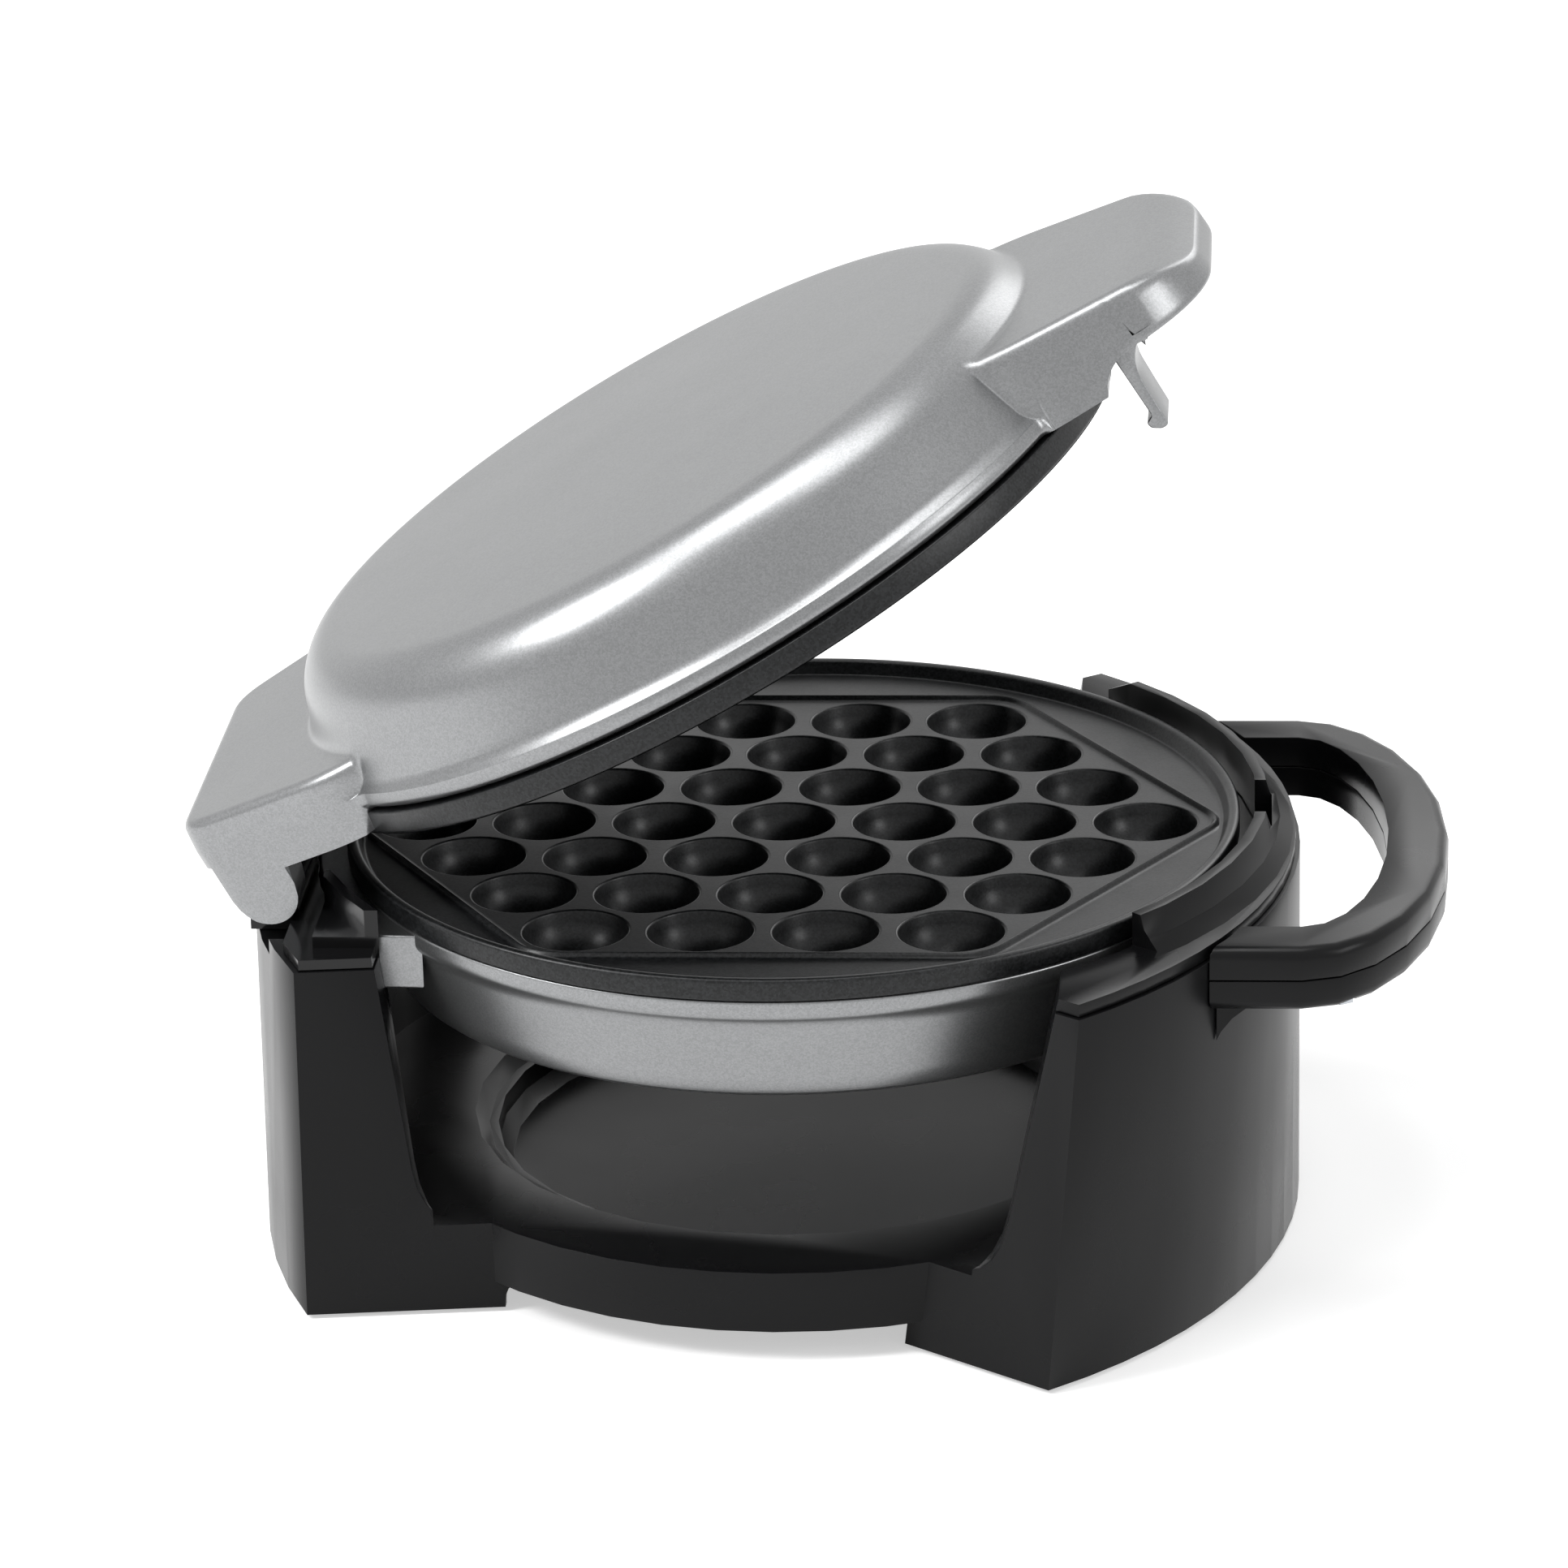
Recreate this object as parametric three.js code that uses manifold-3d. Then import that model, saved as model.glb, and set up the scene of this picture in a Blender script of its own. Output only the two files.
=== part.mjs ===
// Bubble waffle maker: two round cast plates with dome-shaped cells, the lower one in a
// silver bowl held by a black moulded stand, the upper one in a silver lid that turns about
// a hinge on the stand's left upright. Lengths are in millimetres and +Z is up. Each sub-part
// is built about the bowl's vertical axis with the lid closed, then the lid is turned open.
import * as THREE from "three";
import { mergeGeometries, mergeVertices } from "three/addons/utils/BufferGeometryUtils.js";
import Module from "manifold-3d";

const wasm = await Module();
wasm.setup();

// Clearances shared by every sub-part
const GAP = 0.3;
const OVERRUN = 2;
const SKIN = 3;

// Numbers of facets round a full circle
const WIDE_FACETS = 48;
const INNER_FACETS = 30;
const HINGE_FACETS = 20;
const SMALL_FACETS = 10;
const SCREW_FACETS = 6;
const CELL_FACETS = 10;

// Stand: a left and a right upright joined by a round deck, open at the front and back
const STAND = {
  lift: 1,
  leftTop: 79,
  rightTop: 84.5,
  deckTop: 20.5,
  barUnderside: 7,
  barRadius: 91,
  innerRadius: 100.5,
  wallArcRadius: 132,
  wallArcCentreX: -22,
  faceStartX: 30.3,
  faceStartY: -85.8,
  faceDraft: 8.6,
  leftCornerX: -101,
  leftCornerY: 72,
  leftInnerX: -61,
  leftInnerY: 67.5,
  leftDraft: 2,
  leftBulge: 17,
};
const FACE_ANGLE = THREE.MathUtils.degToRad(-35);
const WINDOW = {
  leftTopX: -84,
  leftFootX: -77.5,
  rightTopX: 60.5,
  rightFootX: 49.5,
  cornerRadius: 13,
};
const ARCH = { leftX: -59, rightX: 24.5, cornerRadius: 5 };
const PAN = { rimRadius: 72, stepRadius: 67, stepDepth: 3, floorThickness: 3, floorZ: 10 };
const VENT = { count: 5, width: 44, height: 2.4, pitch: 5.2, topZ: 73 };
const FOOT = { radius: 7, height: 3.6, leftX: -86, leftY: 56, rightX: 56, rightY: 84, bossWall: 2.5 };
const WIRING_COVER = { z: 6, thickness: 2.5, rightX: -66, bossRadius: 4.5, screwX: -78, screwY: 30 };
const SCREW = { headRadius: 3, headHeight: 2, shankRadius: 1.5, length: 11 };
const GLAND = { y: 40, z: 15, neckRadius: 5.5, boreRadius: 3.2, flangeRadius: 8, flangeThickness: 2.5 };

// Cover of the right upright, with the raised guard round the bowl
const COVER = { thickness: 2.7, lip: 0.9 };
const GUARD = { innerRadius: 100.8, ribWidth: 3.4, footRadius: 108.6, rise: 7.6, stepRise: 3, halfAngle: 44 };

// Loop handle of the stand
const LOOP = {
  rootX: 86,
  outerHalfWidth: 69,
  innerHalfWidth: 56,
  outerX: 142,
  innerX: 129,
  straightX: 110,
  thickness: 14,
  edgeRadius: 2.5,
  gussetDrop: 13,
  gussetReach: 15,
  screwX: 118,
  screwY: 61.2,
};

// Lower bowl and what it holds
const BOWL = {
  topZ: 84,
  topRadius: 96.5,
  lipHeight: 3.5,
  lipStep: 2,
  bottomRadius: 89.7,
  bottomZ: 62.5,
  floorRadius: 82,
  floorZ: 58,
  wall: 2,
};
const LUG = { outerRadius: 103.2, halfWidth: 60, height: 12, top: 83.5 };
const PLATE = {
  radius: 97,
  shoulderRadius: 93,
  bodyRadius: 90,
  underFlange: 2,
  bodyDepth: 12,
  rimHeight: 3,
  rimWidth: 2.6,
  rimSlope: 1.5,
  postRadius: 4,
  postCircle: 74,
  postCount: 3,
};
const CELL = { pitch: 26.2, rowPitch: 20.9, radius: 11.2, depth: 10, shift: 2, rings: 3 };
const CELL_ROWS = [4, 5, 6, 7, 6, 5, 4];
const RIDGE = { margin: 2, width: 2, height: 1, cornerRadius: 9 };
const UPPER_PLATE = {
  radius: 96,
  shoulderRadius: 91.4,
  bodyRadius: 88.5,
  flangeHeight: 5.4,
  rimHeight: 1.5,
  socketDepth: 3.5,
};
const PLATES_APART = 0.8;
const HEATER = { radius: 62, tubeRadius: 3.2, sweepDeg: 320, terminalDrop: 1.5 };
const REFLECTOR = { thickness: 1, z: 64.4, clearance: 0.7, holeRadius: 12 };
const THERMOSTAT = { radius: 9, height: 6, bladeWidth: 4, bladeThickness: 1, bladeLength: 7 };

// Hinge and its tower on the left upright
const HINGE = {
  x: -110,
  z: 88,
  barrelRadius: 8,
  lobeRadius: 8.4,
  lobeInner: 38,
  lobeOuter: 48,
  pinRadius: 3,
  pinLength: 18,
};
const REST_OPENING = THREE.MathUtils.degToRad(28.5);
const TOWER = {
  plateThickness: 2.2,
  pedestalLeft: 4,
  recessDepth: 3.5,
  recessRightX: -104,
  recessHalfWidth: 51,
  blockLeftX: -97,
  blockTop: 84,
  blockInner: 39,
  blockOuter: 62,
  wallInner: 103.6,
  wallThickness: 2.4,
  wallTop: 90,
};

// Lid
const LID = {
  edgeRise: 6,
  edgeRadius: 94.5,
  beadRadius: 95.6,
  beadRise: 9.5,
  skirtRadius: 93.6,
  skirtRise: 12,
  shoulderRadius: 88.5,
  shoulderRise: 27,
  discRadius: 82,
  discRise: 33.5,
  crown: 1.2,
  wall: 2.2,
};
const WEDGE = {
  rootX: -60,
  shoulderX: -84,
  shoulderHalf: 57,
  endX: -121,
  endHalf: 41,
  cornerRadius: 9,
  top: 17,
  bottom: 1.2,
  endBottom: 6,
  edgeRadius: 2.5,
};
const HANDLE = {
  rootX: 60,
  shoulderX: 86,
  shoulderHalf: 43.5,
  noseX: 113,
  noseHalf: 36,
  tipX: 127,
  top: 20,
  bottom: 8.5,
  edgeRadius: 2.8,
};
const HANDLE_COVER = { thickness: 2, inset: 0.6, startX: 97.5 };
const LATCH = {
  pivotX: 105,
  pivotZ: 103,
  pivotRadius: 3.4,
  pinRadius: 1.5,
  halfWidth: 8,
  tongueInnerX: 97.9,
  tongueThickness: 2.2,
  hookReach: 2,
  hookHeight: 2.4,
  hookZ: 76.2,
  free: 5,
  pocketDepth: 3.4,
  pocketHalfWidth: 9.5,
};

// Heights and places that follow from the sizes above
const CELL_PLANE = BOWL.topZ + PLATE.underFlange;
const RIM_TOP = CELL_PLANE + PLATE.rimHeight;
const LID_BASE = RIM_TOP + PLATES_APART;
const DECK_UNDERSIDE = STAND.deckTop - SKIN;
const HANDLE_UNDERSIDE = STAND.rightTop - LOOP.thickness;
const COVER_UNDERSIDE = STAND.rightTop - COVER.thickness;
const SHELL_RIGHT_TOP = COVER_UNDERSIDE - GAP;
const FAR = 2 * LOOP.outerX;

const materials = {
  blackPlastic: { color: 0x17181a, roughness: 0.42, metalness: 0 },
  glossBlack: { color: 0x101113, roughness: 0.2, metalness: 0 },
  silver: { color: 0xa6a6a6, roughness: 0.36, metalness: 0.85 },
  nonStick: { color: 0x2b2c2e, roughness: 0.45, metalness: 0.3 },
  steel: { color: 0xb4b6b8, roughness: 0.3, metalness: 1 },
  aluminium: { color: 0xc4c6c8, roughness: 0.4, metalness: 1 },
  rubber: { color: 0x1c1c1c, roughness: 0.9, metalness: 0 },
};

// A closed geometry as a solid: only positions, shared corners merged, empty facets left out
function solid(geometry) {
  const bare = geometry.clone();
  bare.deleteAttribute("normal");
  bare.deleteAttribute("uv");
  const merged = mergeVertices(bare);
  const index = merged.index.array;
  const kept = [];
  for (let i = 0; i < index.length; i += 3) {
    const [a, b, c] = [index[i], index[i + 1], index[i + 2]];
    if (a !== b && b !== c && c !== a) kept.push(a, b, c);
  }
  return new wasm.Manifold(new wasm.Mesh({
    numProp: 3,
    vertProperties: new Float32Array(merged.attributes.position.array),
    triVerts: new Uint32Array(kept),
  }));
}

// A solid back as a geometry with flat facets
function geometryOf(body) {
  const mesh = body.getMesh();
  const geometry = new THREE.BufferGeometry();
  geometry.setAttribute("position", new THREE.BufferAttribute(new Float32Array(mesh.vertProperties), 3));
  geometry.setIndex(new THREE.BufferAttribute(new Uint32Array(mesh.triVerts), 1));
  return geometry;
}

function joined(bodies) {
  return bodies.reduce((whole, body) => whole.add(body));
}

// A profile of [radius, height] pairs turned about the Z axis
function revolved(profile, facets = WIDE_FACETS) {
  const points = profile.map(([radius, height]) => new THREE.Vector2(radius, height));
  return solid(new THREE.LatheGeometry(points, facets).rotateX(Math.PI / 2));
}

function cylinder(radius, low, high, x = 0, y = 0, facets = WIDE_FACETS) {
  const shape = new THREE.CylinderGeometry(radius, radius, high - low, facets);
  return solid(shape.rotateX(Math.PI / 2).translate(x, y, (low + high) / 2));
}

// A cylinder along Y between two places
function crossCylinder(radius, y0, y1, x, z, facets = SMALL_FACETS) {
  const shape = new THREE.CylinderGeometry(radius, radius, y1 - y0, facets);
  return solid(shape.translate(x, (y0 + y1) / 2, z));
}

function box([x0, x1], [y0, y1], [z0, z1]) {
  const shape = new THREE.BoxGeometry(x1 - x0, y1 - y0, z1 - z0);
  return solid(shape.translate((x0 + x1) / 2, (y0 + y1) / 2, (z0 + z1) / 2));
}

// A plan outline raised from one height to another, its edges rounded by edge
function raised(shape, low, high, edge = 0, segments = 3) {
  const options = edge
    ? { depth: high - low - 2 * edge, bevelSize: edge, bevelThickness: edge, bevelOffset: -edge, bevelSegments: segments, curveSegments: 6 }
    : { depth: high - low, bevelEnabled: false, curveSegments: 6 };
  return solid(new THREE.ExtrudeGeometry(shape, options).translate(0, 0, low + edge));
}

// A side profile in X and Z carried across from y0 to y1
function across(shape, y0, y1, segments = 5) {
  const form = new THREE.ExtrudeGeometry(shape, { depth: y1 - y0, bevelEnabled: false, curveSegments: segments });
  return solid(form.rotateX(Math.PI / 2).translate(0, y1, 0));
}

function polygon(points) {
  return new THREE.Shape(points.map(([x, y]) => new THREE.Vector2(x, y)));
}

// Two plan outlines with as many points each, joined by straight walls
function lofted(lower, low, upper, high) {
  const count = lower.length;
  const corners = [
    ...lower.map(([x, y]) => new THREE.Vector3(x, y, low)),
    ...upper.map(([x, y]) => new THREE.Vector3(x, y, high)),
  ];
  const flat = lower.map(([x, y]) => new THREE.Vector2(x, y));
  const faces = [];
  for (const [a, b, c] of THREE.ShapeUtils.triangulateShape(flat, [])) {
    faces.push(c, b, a, a + count, b + count, c + count);
  }
  for (let i = 0; i < count; i += 1) {
    const next = (i + 1) % count;
    faces.push(i, next, next + count, i, next + count, i + count);
  }
  const geometry = new THREE.BufferGeometry().setFromPoints(corners);
  geometry.setIndex(faces);
  return solid(geometry);
}

function arcPoints(centreX, radius, fromAngle, toAngle, steps) {
  return Array.from({ length: steps + 1 }, (_, i) => {
    const angle = fromAngle + ((toAngle - fromAngle) * i) / steps;
    return [centreX + radius * Math.cos(angle), radius * Math.sin(angle)];
  });
}

function bothSides(make) {
  return joined([make(-1), make(1)]);
}

// Where the right upright's slanted front face, moved in by inset, meets its round wall
function faceCorner(inset, radius) {
  const along = [Math.cos(FACE_ANGLE), Math.sin(FACE_ANGLE)];
  const start = [STAND.faceStartX - inset * along[1], STAND.faceStartY + inset * along[0]];
  const toCentre = [start[0] - STAND.wallArcCentreX, start[1]];
  const half = toCentre[0] * along[0] + toCentre[1] * along[1];
  const rest = toCentre[0] ** 2 + toCentre[1] ** 2 - radius ** 2;
  const reach = Math.sqrt(half ** 2 - rest) - half;
  return { start, corner: [start[0] + reach * along[0], start[1] + reach * along[1]], along };
}

// Plan of the right upright: inset is the face's draft, grow moves every wall outwards
function rightOutline(inset, grow = 0) {
  const radius = STAND.wallArcRadius + grow;
  const { start, corner, along } = faceCorner(inset - grow, radius);
  const back = start[0] / along[0];
  const root = [0, start[1] - back * along[1]];
  const angle = Math.atan2(corner[1], corner[0] - STAND.wallArcCentreX);
  const arc = arcPoints(STAND.wallArcCentreX, radius, angle, -angle, 24);
  return [root, ...arc, [root[0], -root[1]]];
}

// Plan of the left upright, with its bulging outer wall
function leftOutline(inset, grow = 0) {
  const cornerX = STAND.leftCornerX + inset / 2 - grow;
  const cornerY = STAND.leftCornerY - inset + grow;
  const slope = (STAND.leftCornerY - STAND.leftInnerY) / (STAND.leftInnerX - STAND.leftCornerX);
  const rootY = cornerY - slope * (0 - cornerX);
  const radius = (cornerY ** 2 + STAND.leftBulge ** 2) / (2 * STAND.leftBulge);
  const centreX = cornerX - STAND.leftBulge + radius;
  const spread = Math.asin(cornerY / radius);
  const arc = arcPoints(centreX, radius, Math.PI - spread, Math.PI + spread, 10);
  return [[0, rootY], ...arc, [0, -rootY]];
}

// The U-shaped opening at the front and back, seen from the front
function windowProfile(grow = 0) {
  const top = FAR;
  const low = STAND.deckTop - grow;
  const rise = WINDOW.cornerRadius;
  const slopeHeight = STAND.rightTop - STAND.deckTop - rise;
  const leftSlope = (WINDOW.leftTopX - WINDOW.leftFootX) / slopeHeight;
  const rightSlope = (WINDOW.rightTopX - WINDOW.rightFootX) / slopeHeight;
  const leftX = WINDOW.leftFootX - grow;
  const rightX = WINDOW.rightFootX + grow;
  const shape = new THREE.Shape();
  shape.moveTo(leftX + leftSlope * top, low + rise + top);
  shape.lineTo(leftX, low + rise);
  shape.quadraticCurveTo(leftX - leftSlope * rise, low, leftX + rise, low);
  shape.lineTo(rightX - rise, low);
  shape.quadraticCurveTo(rightX - rightSlope * rise, low, rightX, low + rise);
  shape.lineTo(rightX + rightSlope * top, low + rise + top);
  return across(shape, -FAR, FAR);
}

function archProfile() {
  const { leftX, rightX, cornerRadius } = ARCH;
  const top = STAND.barUnderside;
  const shape = new THREE.Shape();
  shape.moveTo(leftX, -OVERRUN);
  shape.lineTo(leftX, top - cornerRadius);
  shape.quadraticCurveTo(leftX, top, leftX + cornerRadius, top);
  shape.lineTo(rightX - cornerRadius, top);
  shape.quadraticCurveTo(rightX, top, rightX, top - cornerRadius);
  shape.lineTo(rightX, -OVERRUN);
  return across(shape, -FAR, FAR);
}

function uprights(grow, low) {
  const leftHigh = STAND.leftTop + Math.min(grow, 0);
  const rightHigh = SHELL_RIGHT_TOP + Math.min(grow, 0);
  return joined([
    lofted(leftOutline(0, grow), low, leftOutline(STAND.leftDraft, grow), leftHigh),
    lofted(rightOutline(0, grow), low, rightOutline(STAND.faceDraft, grow), rightHigh),
  ]);
}

function footPlaces() {
  return [
    [FOOT.leftX, -FOOT.leftY],
    [FOOT.leftX, FOOT.leftY],
    [FOOT.rightX, -FOOT.rightY],
    [FOOT.rightX, FOOT.rightY],
  ];
}

function standHollow() {
  const ceiling = DECK_UNDERSIDE;
  const inner = STAND.innerRadius + SKIN;
  const walls = uprights(-SKIN, -OVERRUN).add(cylinder(STAND.barRadius - SKIN, -OVERRUN, ceiling));
  const lugShelf = LUG.top - LUG.height - GAP - SKIN;
  const catchBlock = 3 * LATCH.halfWidth;
  const kept = [
    cylinder(inner, ceiling, FAR),
    cylinder(LUG.outerRadius + GAP + SKIN, lugShelf, FAR).subtract(box([0, FAR], [-FAR, FAR], [0, 2 * FAR])),
    windowProfile(SKIN),
    cylinder(PAN.rimRadius + SKIN, PAN.floorZ - PAN.floorThickness, FAR),
    box([0, FAR], [-catchBlock, catchBlock], [ceiling, FAR]),
    box([-FAR, TOWER.recessRightX + SKIN], [-TOWER.recessHalfWidth - SKIN, TOWER.recessHalfWidth + SKIN],
      [STAND.leftTop - TOWER.recessDepth - SKIN, FAR]),
    ...footPlaces().map(([x, y]) => cylinder(FOOT.radius + FOOT.bossWall, FOOT.height + GAP, FAR, x, y, SMALL_FACETS)),
    ...wiringScrewPlaces().map(([x, y]) =>
      cylinder(WIRING_COVER.bossRadius, WIRING_COVER.z + WIRING_COVER.thickness + GAP, FAR, x, y, SMALL_FACETS)),
  ];
  return kept.reduce((space, part) => space.subtract(part), walls);
}

function ventSlots() {
  const slots = Array.from({ length: VENT.count }, (_, i) => {
    const top = VENT.topZ - SKIN - i * VENT.pitch;
    return box([-FAR, STAND.leftCornerX], [-VENT.width / 2, VENT.width / 2], [top - VENT.height, top]);
  });
  return joined(slots);
}

function latchPocket() {
  const { pocketHalfWidth, pocketDepth, hookZ } = LATCH;
  const low = hookZ - 2 * LATCH.hookHeight;
  return box([0, STAND.innerRadius + pocketDepth], [-pocketHalfWidth, pocketHalfWidth], [low, FAR]);
}

function panRecess() {
  const top = STAND.deckTop;
  return revolved([
    [0, PAN.floorZ],
    [PAN.stepRadius - PAN.stepDepth, PAN.floorZ],
    [PAN.stepRadius, PAN.floorZ + PAN.stepDepth],
    [PAN.stepRadius, top - PAN.stepDepth],
    [PAN.rimRadius - PAN.stepDepth, top - PAN.stepDepth],
    [PAN.rimRadius, top],
    [PAN.rimRadius, top + OVERRUN],
    [0, top + OVERRUN],
  ], INNER_FACETS);
}

function glandBore() {
  const bore = new THREE.CylinderGeometry(GLAND.neckRadius + GAP, GLAND.neckRadius + GAP, FAR, SMALL_FACETS);
  return solid(bore.rotateZ(Math.PI / 2).translate(STAND.leftCornerX - FAR / 2, GLAND.y, GLAND.z));
}

function standShell() {
  const outside = uprights(0, STAND.lift)
    .add(cylinder(STAND.barRadius, STAND.barUnderside, STAND.deckTop));
  const lugSeat = cylinder(LUG.outerRadius + GAP, LUG.top - LUG.height - GAP, FAR)
    .intersect(box([-FAR, 0], [-LUG.halfWidth - GAP, LUG.halfWidth + GAP], [0, 2 * FAR]));
  const hingeRecess = box([-FAR, TOWER.recessRightX], [-TOWER.recessHalfWidth, TOWER.recessHalfWidth],
    [STAND.leftTop - TOWER.recessDepth, FAR]);
  const cuts = [
    standHollow(),
    cylinder(STAND.innerRadius, STAND.deckTop, FAR),
    lugSeat,
    hingeRecess,
    windowProfile(),
    archProfile(),
    panRecess(),
    ventSlots(),
    latchPocket(),
    glandBore(),
    ...wiringScrewPlaces().map(([x, y]) => screwHole(x, y, WIRING_COVER.z, SCREW.length + GAP)),
  ];
  return cuts.reduce((body, cut) => body.subtract(cut), outside);
}

// Cover of the right upright and the guard: a rib nearest the bowl, a step, then the flange
function guardSection() {
  const { innerRadius, ribWidth, footRadius, rise, stepRise } = GUARD;
  const top = STAND.rightTop;
  const crest = top + rise;
  return [
    [innerRadius, COVER_UNDERSIDE],
    [footRadius - 1.5 * stepRise, COVER_UNDERSIDE],
    [footRadius, top - COVER.thickness / 2],
    [footRadius, top],
    [footRadius - stepRise / 2, top + stepRise / 2],
    [footRadius - stepRise, top + stepRise],
    [innerRadius + ribWidth + stepRise / 2, top + stepRise],
    [innerRadius + ribWidth, top + 1.5 * stepRise],
    [innerRadius + 0.7 * ribWidth, crest],
    [innerRadius, crest],
    [innerRadius, COVER_UNDERSIDE],
  ];
}

// A sector about +X whose ends slope down, so that the guard runs out into the flange
function guardSector() {
  const half = THREE.MathUtils.degToRad(GUARD.halfAngle);
  const lean = Math.atan(GUARD.rise / GUARD.innerRadius);
  const plan = (spread) => [
    [0, 0],
    [FAR * Math.cos(spread), -FAR * Math.sin(spread)],
    [FAR, 0],
    [FAR * Math.cos(spread), FAR * Math.sin(spread)],
  ];
  return lofted(plan(half + lean), COVER_UNDERSIDE - OVERRUN, plan(half - lean / 2), STAND.rightTop + GUARD.rise + OVERRUN);
}

function guardCover() {
  const outline = rightOutline(STAND.faceDraft, -COVER.lip);
  const flange = lofted(outline, COVER_UNDERSIDE, outline, STAND.rightTop)
    .subtract(cylinder(GUARD.innerRadius, 0, FAR));
  const guard = revolved(guardSection()).intersect(guardSector());
  return flange.add(guard).subtract(windowProfile()).subtract(latchPocket());
}

function loopOutline(half, farX) {
  const shape = new THREE.Shape();
  const bow = (farX - LOOP.straightX) / 2;
  shape.moveTo(LOOP.rootX, -half);
  shape.lineTo(LOOP.straightX, -half);
  shape.bezierCurveTo(LOOP.straightX + bow, -half, farX, -0.58 * half, farX, 0);
  shape.bezierCurveTo(farX, 0.58 * half, LOOP.straightX + bow, half, LOOP.straightX, half);
  shape.lineTo(LOOP.rootX, half);
  return shape;
}

function loopBody() {
  const outer = raised(loopOutline(LOOP.outerHalfWidth, LOOP.outerX), HANDLE_UNDERSIDE, STAND.rightTop, LOOP.edgeRadius);
  const inner = loopOutline(LOOP.innerHalfWidth, LOOP.innerX);
  const clear = lofted(rightOutline(0, GAP), 0, rightOutline(STAND.faceDraft, GAP), STAND.rightTop + OVERRUN);
  return outer.subtract(raised(inner, 0, FAR)).subtract(clear);
}

// The arm's underside sweeps down to meet the upright's wall
function loopGusset(side) {
  const top = HANDLE_UNDERSIDE + LOOP.edgeRadius;
  const wallX = STAND.wallArcCentreX + Math.sqrt(STAND.wallArcRadius ** 2 - LOOP.outerHalfWidth ** 2);
  const shape = new THREE.Shape();
  shape.moveTo(LOOP.rootX, top);
  shape.lineTo(wallX + LOOP.gussetReach, top);
  shape.quadraticCurveTo(wallX + LOOP.edgeRadius, HANDLE_UNDERSIDE, wallX, HANDLE_UNDERSIDE - LOOP.gussetDrop);
  shape.lineTo(LOOP.rootX, HANDLE_UNDERSIDE - LOOP.gussetDrop);
  const inset = LOOP.edgeRadius;
  const [a, b] = [LOOP.innerHalfWidth, LOOP.outerHalfWidth - inset].map((half) => half * side);
  return across(shape, Math.min(a, b), Math.max(a, b), 6);
}

function loopHalf(low, high) {
  return loopBody().intersect(box([0, FAR], [-FAR, FAR], [low, high]));
}

function loopScrewPlaces() {
  return [-1, 1].map((side) => [LOOP.screwX, side * LOOP.screwY]);
}

function loopScrewHoles() {
  return joined(loopScrewPlaces().map(([x, y]) => screwHole(x, y, HANDLE_UNDERSIDE + SCREW.headHeight, SCREW.length)));
}

function handleUpper() {
  const parting = HANDLE_UNDERSIDE + LOOP.thickness / 2;
  return loopHalf(parting + GAP / 2, STAND.rightTop + OVERRUN).subtract(loopScrewHoles());
}

function handleLower() {
  const parting = HANDLE_UNDERSIDE + LOOP.thickness / 2;
  const clear = lofted(rightOutline(0, GAP), 0, rightOutline(STAND.faceDraft, GAP), STAND.rightTop + OVERRUN);
  const gussets = bothSides(loopGusset).subtract(clear);
  return loopHalf(0, parting - GAP / 2).add(gussets).subtract(loopScrewHoles());
}

// A screw pointing up, its head's underside facing down at headZ
function screw(x, y, headZ) {
  return cylinder(SCREW.headRadius, headZ - SCREW.headHeight, headZ, x, y, SCREW_FACETS)
    .add(cylinder(SCREW.shankRadius, headZ - SCREW.headHeight / 2, headZ + SCREW.length - GAP, x, y, SCREW_FACETS));
}

function screwHole(x, y, headZ, length) {
  return cylinder(SCREW.headRadius + GAP, headZ - FAR, headZ - GAP, x, y, SCREW_FACETS)
    .add(cylinder(SCREW.shankRadius + GAP, headZ - OVERRUN, headZ + length, x, y, SCREW_FACETS));
}

function wiringScrewPlaces() {
  return [-1, 1].map((side) => [WIRING_COVER.screwX, side * WIRING_COVER.screwY]);
}

// Bottom cover that closes the wiring space in the left upright
function wiringCover() {
  const low = WIRING_COVER.z;
  const high = low + WIRING_COVER.thickness;
  const plan = leftOutline(0, -SKIN - 2 * GAP);
  const plate = lofted(plan, low, plan, high)
    .intersect(box([-FAR, WIRING_COVER.rightX], [-FAR, FAR], [0, FAR]));
  const cuts = [
    cylinder(PAN.rimRadius + SKIN + GAP, 0, FAR),
    ...footPlaces().map(([x, y]) => cylinder(FOOT.radius + FOOT.bossWall + GAP, 0, FAR, x, y, SMALL_FACETS)),
    ...wiringScrewPlaces().map(([x, y]) => cylinder(SCREW.shankRadius + GAP, 0, FAR, x, y, SCREW_FACETS)),
  ];
  return cuts.reduce((body, cut) => body.subtract(cut), plate);
}

function foot([x, y]) {
  return cylinder(FOOT.radius, 0, FOOT.height, x, y, SMALL_FACETS);
}

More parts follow.
